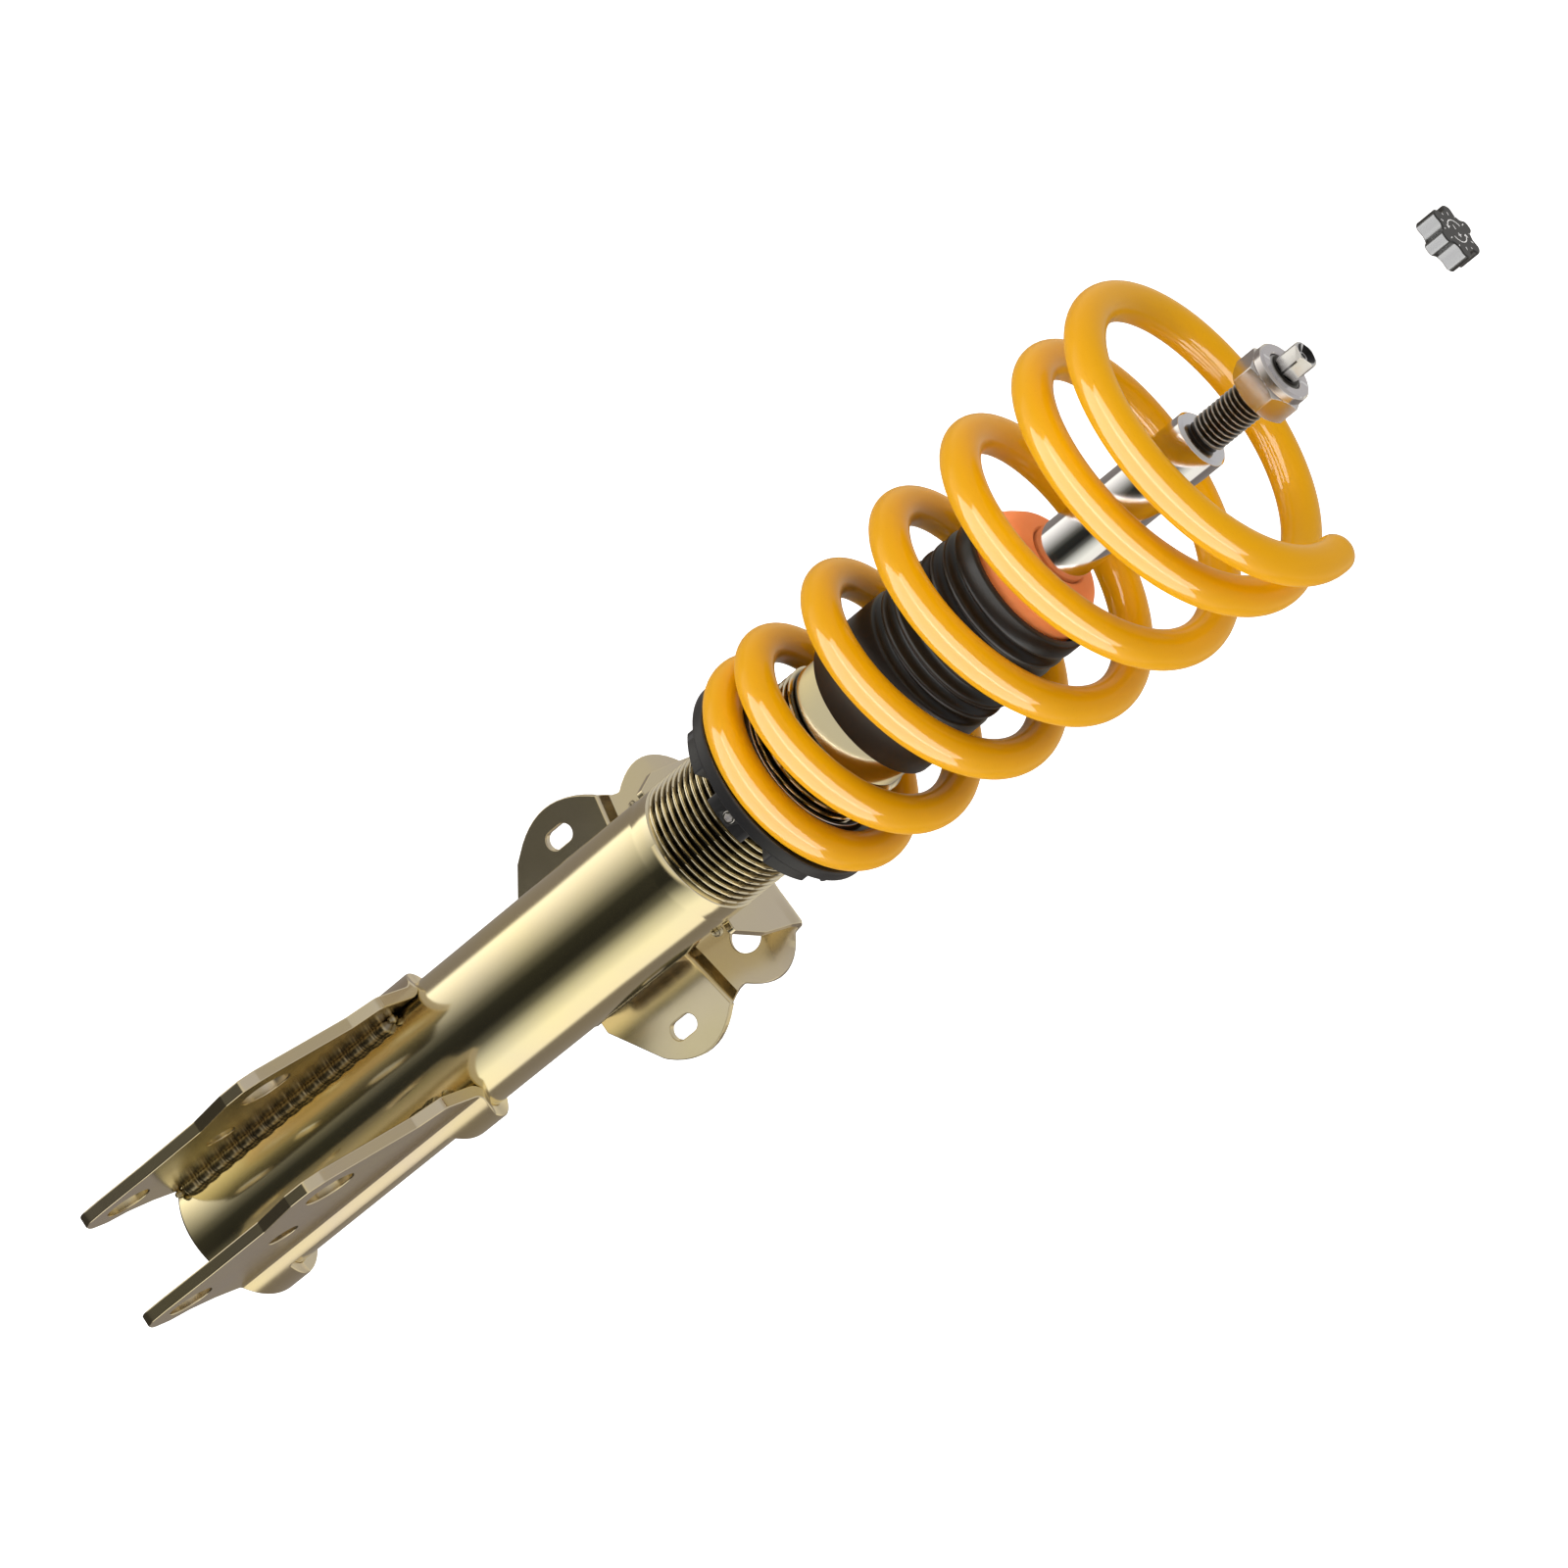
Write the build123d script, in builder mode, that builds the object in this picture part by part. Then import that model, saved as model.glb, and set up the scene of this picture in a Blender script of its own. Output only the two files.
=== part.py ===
from build123d import *

import math
import os

os.makedirs("parts", exist_ok=True)

# A front strut coilover, in millimetres. The origin is the middle of the upper knuckle bolt, +X runs along
# that bolt, +Z runs up the strut axis, and the two knuckle ears reach from the strut towards -Y.

# Strut axis
STRUT_Y = 61.0

# Housing tube
TUBE_R = 26.5
TUBE_BORE_R = 22.5
TUBE_NECK_R = 25.0
TUBE_BOTTOM_Z = -91.3
TUBE_FLOOR = 6.0
TUBE_BOTTOM_ROUND = 1.5
THREAD_START_Z = 173.0
THREAD_END_Z = 248.5
TUBE_TOP_Z = 296.0

# Knuckle bracket: two ears and a sheet that wraps the tube
SHEET_T = 4.8
EAR_GAP = 38.1
WRAP_R = TUBE_R + SHEET_T
EAR_IN_X = EAR_GAP / 2
EAR_OUT_X = EAR_IN_X + SHEET_T
UPPER_BOLT_R = 10.0
LOWER_BOLT_R = 8.8
LOWER_BOLT_Z = -79.4
WIRE_HOLE_R = 6.0
WIRE_HOLE_Y = 13.0
WIRE_HOLE_Z = -38.0
BRACKET_BOTTOM_Z = -88.0
BRACKET_TOP_Z = 48.0
BRACKET_BACK_TOP_Z = 25.0
WINDOW_BOTTOM_Z = -68.0
WINDOW_TOP_Z = 23.0
WINDOW_FRONT_Y = STRUT_Y - 13.0
WINDOW_BEND_Y = STRUT_Y + 6.0
WELD_R = 3.4

# Link and hose bracket behind the tube
LINK_T = 3.0
LINK_FRONT_Y = STRUT_Y + 31.0
LINK_BOTTOM_Z = 74.0
LINK_SLOT_X = 41.6
LINK_SLOT_Z = 103.8
LINK_SLOT_L = 12.5
LINK_SLOT_W = 7.0
LINK_HOLE_X = 28.4
LINK_HOLE_Z = 142.0
LINK_HOLE_R = 5.65
LINK_SHELF_Z = 159.0
LINK_BEND_Z = 121.0
LINK_LEDGE = 3.5
LINK_LEDGE_RISE = 2.7
LINK_REAR_Y = STRUT_Y + 50.0
LINK_LEG_X = 20.0
LINK_LEG_Y = 25.0
LINK_LEG_L = 14.0
LINK_LEG_H = 40.0
LINK_WELD_X = 22.6
LINK_WELD_Y = 15.6
LINK_WELD_R = 2.6

# Damper inside the housing
PRESSURE_BORE_R = 17.0
PRESSURE_R = 19.0
PRESSURE_BOTTOM_Z = -80.0
PRESSURE_TOP_Z = 268.0
GUIDE_BOTTOM_Z = 262.0
GUIDE_TOP_Z = 280.0
BUSH_R = 12.6
SEAL_TOP_Z = 287.0
GLAND_TOP_Z = 303.0
GLAND_R = 24.6
GLAND_BORE_R = 12.4
FOOT_R = 20.5
FOOT_PLUG_H = 8.0
FOOT_SLOT_W = 5.0
FOOT_HOLE_R = 1.6

# Piston on the rod's lower end
PISTON_R = 16.2
PISTON_LAND_R = 17.0
PISTON_BOTTOM_Z = 214.4
PISTON_H = 16.0
PISTON_PORT_R = 1.7
BAND_BOTTOM_Z = 218.4
BAND_TOP_Z = 226.4
BAND_GROOVE_R = 15.4
SHIM_T = 1.2
SHIM_RADII = (13.0, 11.5, 10.0)
PISTON_NUT_FLATS = 19.0
PISTON_NUT_H = 9.0
REBOUND_BOTTOM_Z = 253.5
REBOUND_H = 8.2

# Piston rod
ROD_R = 11.0
ROD_BOTTOM_Z = 203.0
ROD_END_R = 6.0
PISTON_SEAT_Z = 234.0
SHOULDER_Z = 421.2
STUD_R = 7.0
STUD_NECK_R = 5.9
STUD_TOP_Z = 459.6
TIP_R = 5.0
TIP_FLAT = 4.0
TIP_TOP_Z = 468.9
NEEDLE_BORE_R = 2.05
NEEDLE_R = 2.0
FACING_DEG = 11.0

# Top nut
NUT_FLATS = 22.0
NUT_BOTTOM_Z = 445.7
NUT_HEX_TOP_Z = 455.7
NUT_COLLAR_R = 11.4
NUT_TOP_Z = 459.4

# Adjuster ring and spring seat
RING_BORE_R = 26.8
RING_ROOT_R = 31.0
RING_R = 37.7
RING_BOTTOM_Z = 205.9
RING_TOP_Z = 212.3
LUG_COUNT = 8
LUG_NOTCH_DEG = 16.0
LUG_FACING_DEG = 8.7
SET_SCREW_Z = 209.4
SET_SCREW_R = 1.9
SEAT_R = 41.5
SEAT_BOTTOM_Z = 212.5
SEAT_TOP_Z = 217.6
SEAT_HUB_R = 29.9
SEAT_HUB_TOP_Z = 228.0

# Coil spring: the wire's centre at each of these angles round the strut, seen from -Y, counter-clockwise
WIRE_R = 7.0
SPRING_TURNS = (
    # (angle in degrees, height of the wire's centre, mean radius of the coil)
    (-99, 224.7, 37.6),
    (-9, 224.75, 38.1),
    (171, 233.6, 39.3),
    (371, 248.7, 40.6),
    (731, 287.5, 43.9),
    (1091, 325.2, 47.5),
    (1451, 363.7, 50.7),
    (1631, 383.6, 52.4),
    (1811, 400.8, 53.9),
    (1991, 417.2, 55.2),
    (2171, 425.2, 56.4),
    (2265, 430.9, 57.4),
)
SPRING_STEP_DEG = 30.0

# Dust boot and bump stop
BOOT_BOTTOM_Z = 260.3
BOOT_TOP_Z = 338.7
BOOT_R = 28.4
BOOT_WALL = 1.6
BOOT_FOLDS = 8
BOOT_FOLD_START_Z = 292.0
BOOT_FOLD_DEPTH = 2.6
STOP_BOTTOM_Z = 303.4
STOP_TOP_Z = 351.0
STOP_R = 24.4
STOP_BORE_R = 11.5

# Adjuster knob, lifted off the rod
KNOB_BOTTOM_Z = 528.5
KNOB_TOP_Z = 536.7
KNOB_R = 10.8
KNOB_LOBES = 6
KNOB_LOBE_DEG = 6.0
PIN_R = 0.75
PIN_BOTTOM_Z = 518.1


def facing(angle):
    """A point's direction round the strut axis: 0 is -Y, 90 is +X."""
    turn = math.radians(angle)
    return math.sin(turn), -math.cos(turn)


def at_level(z):
    """The horizontal plane at height z, centred on the strut axis."""
    return Plane(origin=(0, STRUT_Y, z), x_dir=(1, 0, 0), z_dir=(0, 0, 1))


def save(part, label):
    """Names a finished sub-part and writes its STEP file."""
    part.label = label
    export_step(part, f"parts/{label}.step")


# Strut tube: a closed cup with a thicker threaded stretch and a plain neck under the boot.
TUBE_PROFILE = (
    (0, TUBE_BOTTOM_Z),
    (TUBE_R, TUBE_BOTTOM_Z),
    (TUBE_R, THREAD_START_Z - 2.6),
    (TUBE_R - 0.6, THREAD_START_Z - 2.0),
    (TUBE_R - 0.6, THREAD_START_Z - 0.6),
    (TUBE_R, THREAD_START_Z),
    (TUBE_R, THREAD_END_Z - 1.5),
    (TUBE_NECK_R, THREAD_END_Z),
    (TUBE_NECK_R, TUBE_TOP_Z - 1.0),
    (TUBE_NECK_R - 1.0, TUBE_TOP_Z),
    (TUBE_BORE_R, TUBE_TOP_Z),
    (TUBE_BORE_R, TUBE_BOTTOM_Z + TUBE_FLOOR),
    (0, TUBE_BOTTOM_Z + TUBE_FLOOR),
)
AXIS_SECTION = Plane(origin=(0, STRUT_Y, 0), x_dir=(1, 0, 0), z_dir=(0, -1, 0))
STRUT_AXIS = Axis((0, STRUT_Y, 0), (0, 0, 1))

with BuildPart() as strut_tube:
    with BuildSketch(AXIS_SECTION):
        with BuildLine():
            Polyline(*TUBE_PROFILE, close=True)
        make_face()
    revolve(axis=STRUT_AXIS)
    fillet(strut_tube.edges().group_by(Axis.Z)[0], TUBE_BOTTOM_ROUND)
save(strut_tube.part, "strut_tube")


# Knuckle bracket: its plan shape is pulled up, then cut to its side view.
def side_outline():
    """The bracket seen from +X: the ears' front edge on the left, the wrapped back on the right."""
    back_y = STRUT_Y + WRAP_R + 1.0
    lobe_y = -16.0
    Line((back_y, BRACKET_BOTTOM_Z), (22.0, BRACKET_BOTTOM_Z))
    Line((22.0, BRACKET_BOTTOM_Z), (11.0, -90.4))
    Line((11.0, -90.4), (3.2, LOWER_BOLT_Z - 15.7))
    ThreePointArc((3.2, LOWER_BOLT_Z - 15.7), (-11.3, LOWER_BOLT_Z - 11.3), (lobe_y, LOWER_BOLT_Z + 1.0))
    Line((lobe_y, LOWER_BOLT_Z + 1.0), (-14.6, -54.0))
    Line((-14.6, -54.0), (-14.6, -24.0))
    Line((-14.6, -24.0), (-20.4, -4.0))
    ThreePointArc((-20.4, -4.0), (-20.2, 4.0), (-17.0, 11.5))
    Line((-17.0, 11.5), (14.0, 36.5))
    Line((14.0, 36.5), (20.0, BRACKET_TOP_Z))
    Line((20.0, BRACKET_TOP_Z), (44.0, BRACKET_TOP_Z))
    Line((44.0, BRACKET_TOP_Z), (55.0, 40.5))
    Line((55.0, 40.5), (back_y, BRACKET_BACK_TOP_Z))
    Line((back_y, BRACKET_BACK_TOP_Z), (back_y, BRACKET_BOTTOM_Z))


with BuildPart() as knuckle_bracket:
    with BuildSketch(at_level(BRACKET_BOTTOM_Z - 10.0)) as plan:
        Circle(WRAP_R)
        with Locations((0, -STRUT_Y)):
            Rectangle(2 * EAR_OUT_X, 2 * STRUT_Y)
        Circle(TUBE_R, mode=Mode.SUBTRACT)
        with Locations((0, -STRUT_Y)):
            Rectangle(EAR_GAP, 2 * STRUT_Y, mode=Mode.SUBTRACT)
    extrude(amount=BRACKET_TOP_Z - BRACKET_BOTTOM_Z + 20.0)
    with BuildSketch(Plane.YZ):
        with BuildLine():
            side_outline()
        make_face()
    extrude(amount=WRAP_R + 2.0, both=True, mode=Mode.INTERSECT)
    with BuildSketch(Plane.YZ):
        with BuildLine():
            Polyline(
                (WINDOW_FRONT_Y, WINDOW_BOTTOM_Z),
                (WINDOW_BEND_Y, WINDOW_BOTTOM_Z - 9.0),
                (STRUT_Y + WRAP_R + 5.0, WINDOW_BOTTOM_Z - 15.0),
                (STRUT_Y + WRAP_R + 5.0, WINDOW_TOP_Z - 13.0),
                (WINDOW_BEND_Y, WINDOW_TOP_Z),
                (WINDOW_FRONT_Y, WINDOW_TOP_Z),
                close=True,
            )
        make_face()
    extrude(amount=WRAP_R + 2.0, both=True, mode=Mode.SUBTRACT)
    with BuildSketch(Plane.YZ):
        Circle(UPPER_BOLT_R)
        with Locations((0, LOWER_BOLT_Z)):
            Circle(LOWER_BOLT_R)
        with Locations((WIRE_HOLE_Y, WIRE_HOLE_Z)):
            Circle(WIRE_HOLE_R)
    extrude(amount=WRAP_R, both=True, mode=Mode.SUBTRACT)
save(knuckle_bracket.part, "knuckle_bracket")

# Weld beads in the two corners between the ears and the tube.
BEAD_Y = STRUT_Y - math.sqrt(TUBE_R**2 - EAR_IN_X**2)
with BuildPart() as knuckle_welds:
    with BuildSketch(Plane.XY.offset(BRACKET_BOTTOM_Z + 2.0)):
        for side in (-1, 1):
            with Locations((side * (EAR_IN_X - 1.2), BEAD_Y - 1.6)):
                Circle(WELD_R)
        with Locations((0, STRUT_Y)):
            Circle(TUBE_R, mode=Mode.SUBTRACT)
        for side in (-1, 1):
            with Locations((side * (EAR_IN_X + 10.0), BEAD_Y)):
                Rectangle(20.0, 30.0, mode=Mode.SUBTRACT)
    extrude(amount=BRACKET_TOP_Z - BRACKET_BOTTOM_Z - 8.0)
save(knuckle_welds.part, "knuckle_welds")

# Link bracket: one bent strip, cut to its front view, with two legs that meet the tube and a shelf on top.
LINK_BACK_Y = LINK_FRONT_Y + LINK_T
LINK_VIEW = Plane.XZ.offset(-LINK_REAR_Y + 7.0)
LINK_VIEW_REACH = 15.0
STRIP_PATH = (
    (LINK_FRONT_Y, LINK_BOTTOM_Z - 10.0),
    (LINK_FRONT_Y, LINK_BEND_Z),
    (LINK_FRONT_Y + LINK_LEDGE, LINK_BEND_Z + LINK_LEDGE_RISE),
    (LINK_REAR_Y, LINK_SHELF_Z + 10.0),
    (LINK_REAR_Y + LINK_T + 0.2, LINK_SHELF_Z + 10.0),
    (LINK_FRONT_Y + LINK_LEDGE + LINK_T, LINK_BEND_Z + LINK_LEDGE_RISE - 1.2),
    (LINK_BACK_Y, LINK_BEND_Z - 1.2),
    (LINK_BACK_Y, LINK_BOTTOM_Z - 10.0),
)


def link_front_view():
    """The link bracket seen from -Y: a lower pair of wings, a waist, and a narrower upper pair."""
    Line((-33.6, 74.0), (26.0, 75.0))
    Line((26.0, 75.0), (46.0, 89.2))
    ThreePointArc((46.0, 89.2), (53.9, 107.0), (46.0, 126.0))
    Line((46.0, 126.0), (40.5, 120.5))
    ThreePointArc((40.5, 120.5), (47.2, 141.0), (36.0, LINK_SHELF_Z))
    Line((36.0, LINK_SHELF_Z), (-36.0, LINK_SHELF_Z))
    ThreePointArc((-36.0, LINK_SHELF_Z), (-47.2, 141.0), (-39.6, 125.0))
    ThreePointArc((-39.6, 125.0), (-53.7, 103.0), (-45.1, 83.7))
    Line((-45.1, 83.7), (-33.6, 74.0))


def link_shelf_plan():
    """The top shelf in plan, centred on the strut axis: its front corners reach round the tube."""
    rear = LINK_REAR_Y + LINK_T - STRUT_Y
    Line((-33.5, rear), (33.5, rear))
    Line((33.5, rear), (34.4, 24.7))
    Line((34.4, 24.7), (29.7, 7.4))
    Line((29.7, 7.4), (0, 7.4))
    Line((0, 7.4), (-30.4, 6.6))
    Line((-30.4, 6.6), (-35.9, 19.3))
    Line((-35.9, 19.3), (-37.4, 42.0))
    Line((-37.4, 42.0), (-33.5, rear))


with BuildPart() as link_bracket:
    with BuildSketch(Plane.YZ):
        with BuildLine():
            Polyline(*STRIP_PATH, close=True)
        make_face()
    extrude(amount=60.0, both=True)
    with BuildSketch(LINK_VIEW):
        with BuildLine():
            link_front_view()
        make_face()
    extrude(amount=LINK_VIEW_REACH, both=True, mode=Mode.INTERSECT)
    with BuildSketch(at_level(LINK_SHELF_Z - LINK_T)):
        with BuildLine():
            link_shelf_plan()
        make_face()
        Circle(TUBE_R, mode=Mode.SUBTRACT)
    extrude(amount=LINK_T)
    with BuildSketch(at_level(LINK_BOTTOM_Z + 3.0)):
        for side in (-1, 1):
            with Locations((side * LINK_LEG_X, LINK_LEG_Y)):
                Rectangle(LINK_T, LINK_LEG_L)
        Circle(TUBE_R, mode=Mode.SUBTRACT)
    extrude(amount=LINK_LEG_H)
    with BuildSketch(LINK_VIEW):
        for side in (-1, 1):
            with Locations((side * LINK_SLOT_X, LINK_SLOT_Z)):
                SlotOverall(LINK_SLOT_L, LINK_SLOT_W, rotation=90)
            with Locations((side * LINK_HOLE_X, LINK_HOLE_Z)):
                Circle(LINK_HOLE_R)
    extrude(amount=LINK_VIEW_REACH, both=True, mode=Mode.SUBTRACT)
save(link_bracket.part, "link_bracket")

# Fillet welds of the link bracket: one along the outer side of each leg.
with BuildPart() as link_welds:
    for side in (-1, 1):
        with BuildSketch(at_level(LINK_BOTTOM_Z + 5.0)):
            with Locations((side * LINK_WELD_X, LINK_WELD_Y)):
                Circle(LINK_WELD_R)
            Circle(TUBE_R, mode=Mode.SUBTRACT)
            with Locations((side * LINK_LEG_X, LINK_LEG_Y)):
                Rectangle(LINK_T, LINK_LEG_L, mode=Mode.SUBTRACT)
        extrude(amount=LINK_LEG_H - 4.0)
save(link_welds.part, "link_welds")


def turned(label, profile):
    """A sub-part turned about the strut axis from its (radius, height) outline."""
    with BuildPart() as ring:
        with BuildSketch(AXIS_SECTION):
            with BuildLine():
                Polyline(*profile, close=True)
            make_face()
        revolve(axis=STRUT_AXIS)
    save(ring.part, label)
    return ring.part


# Damper internals that stay with the housing.
turned(
    "pressure_tube",
    (
        (PRESSURE_BORE_R, PRESSURE_BOTTOM_Z),
        (PRESSURE_R, PRESSURE_BOTTOM_Z),
        (PRESSURE_R, PRESSURE_TOP_Z),
        (PRESSURE_BORE_R, PRESSURE_TOP_Z),
    ),
)

FOOT_BOTTOM_Z = TUBE_BOTTOM_Z + TUBE_FLOOR
with BuildPart() as foot_valve:
    with BuildSketch(at_level(FOOT_BOTTOM_Z)):
        Circle(FOOT_R)
    extrude(amount=PRESSURE_BOTTOM_Z - FOOT_BOTTOM_Z)
    with BuildSketch(at_level(PRESSURE_BOTTOM_Z)):
        Circle(PRESSURE_BORE_R)
    extrude(amount=FOOT_PLUG_H)
    with BuildSketch(at_level(FOOT_BOTTOM_Z)):
        Circle(12.0)
        for angle in (0, 60, 120):
            Rectangle(2 * TUBE_BORE_R, FOOT_SLOT_W, rotation=angle)
    extrude(amount=3.0, mode=Mode.SUBTRACT)
    with BuildSketch(at_level(FOOT_BOTTOM_Z)):
        with PolarLocations(8.0, 6):
            Circle(FOOT_HOLE_R)
    extrude(amount=PRESSURE_BOTTOM_Z + FOOT_PLUG_H - FOOT_BOTTOM_Z, mode=Mode.SUBTRACT)
save(foot_valve.part, "foot_valve")

turned(
    "rod_guide",
    (
        (BUSH_R, GUIDE_BOTTOM_Z),
        (PRESSURE_BORE_R, GUIDE_BOTTOM_Z),
        (PRESSURE_BORE_R, PRESSURE_TOP_Z),
        (TUBE_BORE_R, PRESSURE_TOP_Z),
        (TUBE_BORE_R, GUIDE_TOP_Z),
        (BUSH_R, GUIDE_TOP_Z),
    ),
)
turned(
    "guide_bush",
    (
        (ROD_R + 0.05, GUIDE_BOTTOM_Z),
        (BUSH_R, GUIDE_BOTTOM_Z),
        (BUSH_R, GUIDE_TOP_Z),
        (ROD_R + 0.05, GUIDE_TOP_Z),
    ),
)
turned(
    "oil_seal",
    (
        (ROD_R + 0.3, GUIDE_TOP_Z),
        (TUBE_BORE_R, GUIDE_TOP_Z),
        (TUBE_BORE_R, SEAL_TOP_Z),
        (15.0, SEAL_TOP_Z),
        (13.5, SEAL_TOP_Z - 2.5),
        (ROD_R + 0.3, SEAL_TOP_Z - 1.0),
    ),
)

with BuildPart() as gland_nut:
    with BuildSketch(AXIS_SECTION):
        with BuildLine():
            Polyline(
                (GLAND_BORE_R, SEAL_TOP_Z),
                (TUBE_BORE_R, SEAL_TOP_Z),
                (TUBE_BORE_R, TUBE_TOP_Z),
                (GLAND_R, TUBE_TOP_Z),
                (GLAND_R, GLAND_TOP_Z - 1.0),
                (GLAND_R - 1.0, GLAND_TOP_Z),
                (GLAND_BORE_R, GLAND_TOP_Z),
                close=True,
            )
        make_face()
    revolve(axis=STRUT_AXIS)
    with BuildSketch(at_level(GLAND_TOP_Z)):
        with PolarLocations(GLAND_R, 4):
            Rectangle(5.0, 5.0)
    extrude(amount=-4.0, mode=Mode.SUBTRACT)
save(gland_nut.part, "gland_nut")

# Piston rod: chromed shaft, waisted piston end below, threaded stud and flatted tip above, drilled through.
with BuildPart() as piston_rod:
    with BuildSketch(AXIS_SECTION):
        with BuildLine():
            Polyline(
                (NEEDLE_BORE_R, ROD_BOTTOM_Z),
                (ROD_END_R - 0.8, ROD_BOTTOM_Z),
                (ROD_END_R, ROD_BOTTOM_Z + 0.8),
                (ROD_END_R, PISTON_SEAT_Z),
                (ROD_R, PISTON_SEAT_Z),
                (ROD_R, SHOULDER_Z - 1.0),
                (ROD_R - 1.0, SHOULDER_Z),
                (STUD_NECK_R, SHOULDER_Z),
                (STUD_NECK_R, SHOULDER_Z + 1.6),
                (STUD_R, SHOULDER_Z + 2.6),
                (STUD_R, STUD_TOP_Z - 1.2),
                (STUD_R - 1.2, STUD_TOP_Z),
                (TIP_R, STUD_TOP_Z),
                (TIP_R, TIP_TOP_Z - 1.2),
                (TIP_R - 1.2, TIP_TOP_Z),
                (NEEDLE_BORE_R, TIP_TOP_Z),
                close=True,
            )
        make_face()
    revolve(axis=STRUT_AXIS)
    with BuildSketch(at_level(STUD_TOP_Z)):
        for side in (-1, 1):
            with Locations(Rotation(0, 0, FACING_DEG) * Pos(0, side * (TIP_FLAT + 2.0), 0)):
                Rectangle(2 * TIP_R, 4.0)
    extrude(amount=6.0, mode=Mode.SUBTRACT)
save(piston_rod.part, "piston_rod")

# Piston stack on the rod's lower end, and the rebound stop above it.
turned(
    "rebound_stop",
    (
        (ROD_R, REBOUND_BOTTOM_Z),
        (PISTON_R - 0.7, REBOUND_BOTTOM_Z),
        (PISTON_R, REBOUND_BOTTOM_Z + 1.5),
        (PISTON_R, REBOUND_BOTTOM_Z + REBOUND_H - 1.5),
        (PISTON_R - 0.7, REBOUND_BOTTOM_Z + REBOUND_H),
        (ROD_R, REBOUND_BOTTOM_Z + REBOUND_H),
    ),
)

PISTON_TOP_Z = PISTON_BOTTOM_Z + PISTON_H
with BuildPart() as shim_stack:
    for i, radius in enumerate(SHIM_RADII):
        with BuildSketch(at_level(PISTON_TOP_Z + i * SHIM_T)):
            Circle(radius)
            Circle(ROD_END_R, mode=Mode.SUBTRACT)
        extrude(amount=SHIM_T)
save(shim_stack.part, "shim_stack")

with BuildPart() as piston:
    with BuildSketch(at_level(PISTON_BOTTOM_Z)):
        Circle(PISTON_R)
        Circle(ROD_END_R, mode=Mode.SUBTRACT)
    extrude(amount=PISTON_H)
    with BuildSketch(at_level(BAND_BOTTOM_Z)):
        Circle(PISTON_LAND_R)
        Circle(BAND_GROOVE_R, mode=Mode.SUBTRACT)
    extrude(amount=BAND_TOP_Z - BAND_BOTTOM_Z, mode=Mode.SUBTRACT)
    with BuildSketch(at_level(PISTON_BOTTOM_Z)):
        with PolarLocations(PISTON_LAND_R - 6.0, 8):
            Circle(PISTON_PORT_R)
    extrude(amount=PISTON_H, mode=Mode.SUBTRACT)
save(piston.part, "piston")

turned(
    "piston_band",
    (
        (BAND_GROOVE_R, BAND_BOTTOM_Z),
        (PRESSURE_BORE_R - 0.05, BAND_BOTTOM_Z),
        (PRESSURE_BORE_R - 0.05, BAND_TOP_Z),
        (BAND_GROOVE_R, BAND_TOP_Z),
    ),
)

with BuildPart() as piston_nut:
    with BuildSketch(at_level(PISTON_BOTTOM_Z - PISTON_NUT_H)):
        RegularPolygon(PISTON_NUT_FLATS / 2, 6, major_radius=False)
        Circle(ROD_END_R, mode=Mode.SUBTRACT)
    extrude(amount=PISTON_NUT_H)
save(piston_nut.part, "piston_nut")

# Top nut: hexagon with a round collar.
with BuildPart() as top_nut:
    with BuildSketch(at_level(NUT_BOTTOM_Z)):
        RegularPolygon(NUT_FLATS / 2, 6, major_radius=False)
    extrude(amount=NUT_HEX_TOP_Z - NUT_BOTTOM_Z)
    with BuildSketch(AXIS_SECTION):
        with BuildLine():
            Polyline(
                (0, NUT_BOTTOM_Z),
                (NUT_FLATS / 2 - 0.3, NUT_BOTTOM_Z),
                (NUT_FLATS / 2 + 1.9, NUT_BOTTOM_Z + 1.2),
                (NUT_FLATS / 2 + 1.9, NUT_HEX_TOP_Z - 1.2),
                (NUT_FLATS / 2 - 0.1, NUT_HEX_TOP_Z),
                (0, NUT_HEX_TOP_Z),
                close=True,
            )
        make_face()
    revolve(axis=STRUT_AXIS, mode=Mode.INTERSECT)
    with BuildSketch(at_level(NUT_HEX_TOP_Z)):
        Circle(NUT_COLLAR_R)
    extrude(amount=NUT_TOP_Z - NUT_HEX_TOP_Z)
    chamfer(top_nut.edges().group_by(Axis.Z)[-1], 0.8)
    with BuildSketch(at_level(NUT_BOTTOM_Z)):
        Circle(STUD_R)
    extrude(amount=NUT_TOP_Z - NUT_BOTTOM_Z, mode=Mode.SUBTRACT)
save(top_nut.part, "top_nut")

# Damping needle: a long rod inside the piston rod with a socket for the knob's pin.
with BuildPart() as adjuster_needle:
    with BuildSketch(AXIS_SECTION):
        with BuildLine():
            Polyline(
                (0, 212.0),
                (0.6, 212.0),
                (NEEDLE_R, 220.0),
                (NEEDLE_R, TIP_TOP_Z - 1.5),
                (PIN_R + 0.3, TIP_TOP_Z - 1.5),
                (PIN_R + 0.3, TIP_TOP_Z - 11.0),
                (0, TIP_TOP_Z - 11.6),
                close=True,
            )
        make_face()
    revolve(axis=STRUT_AXIS)
save(adjuster_needle.part, "adjuster_needle")

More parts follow.
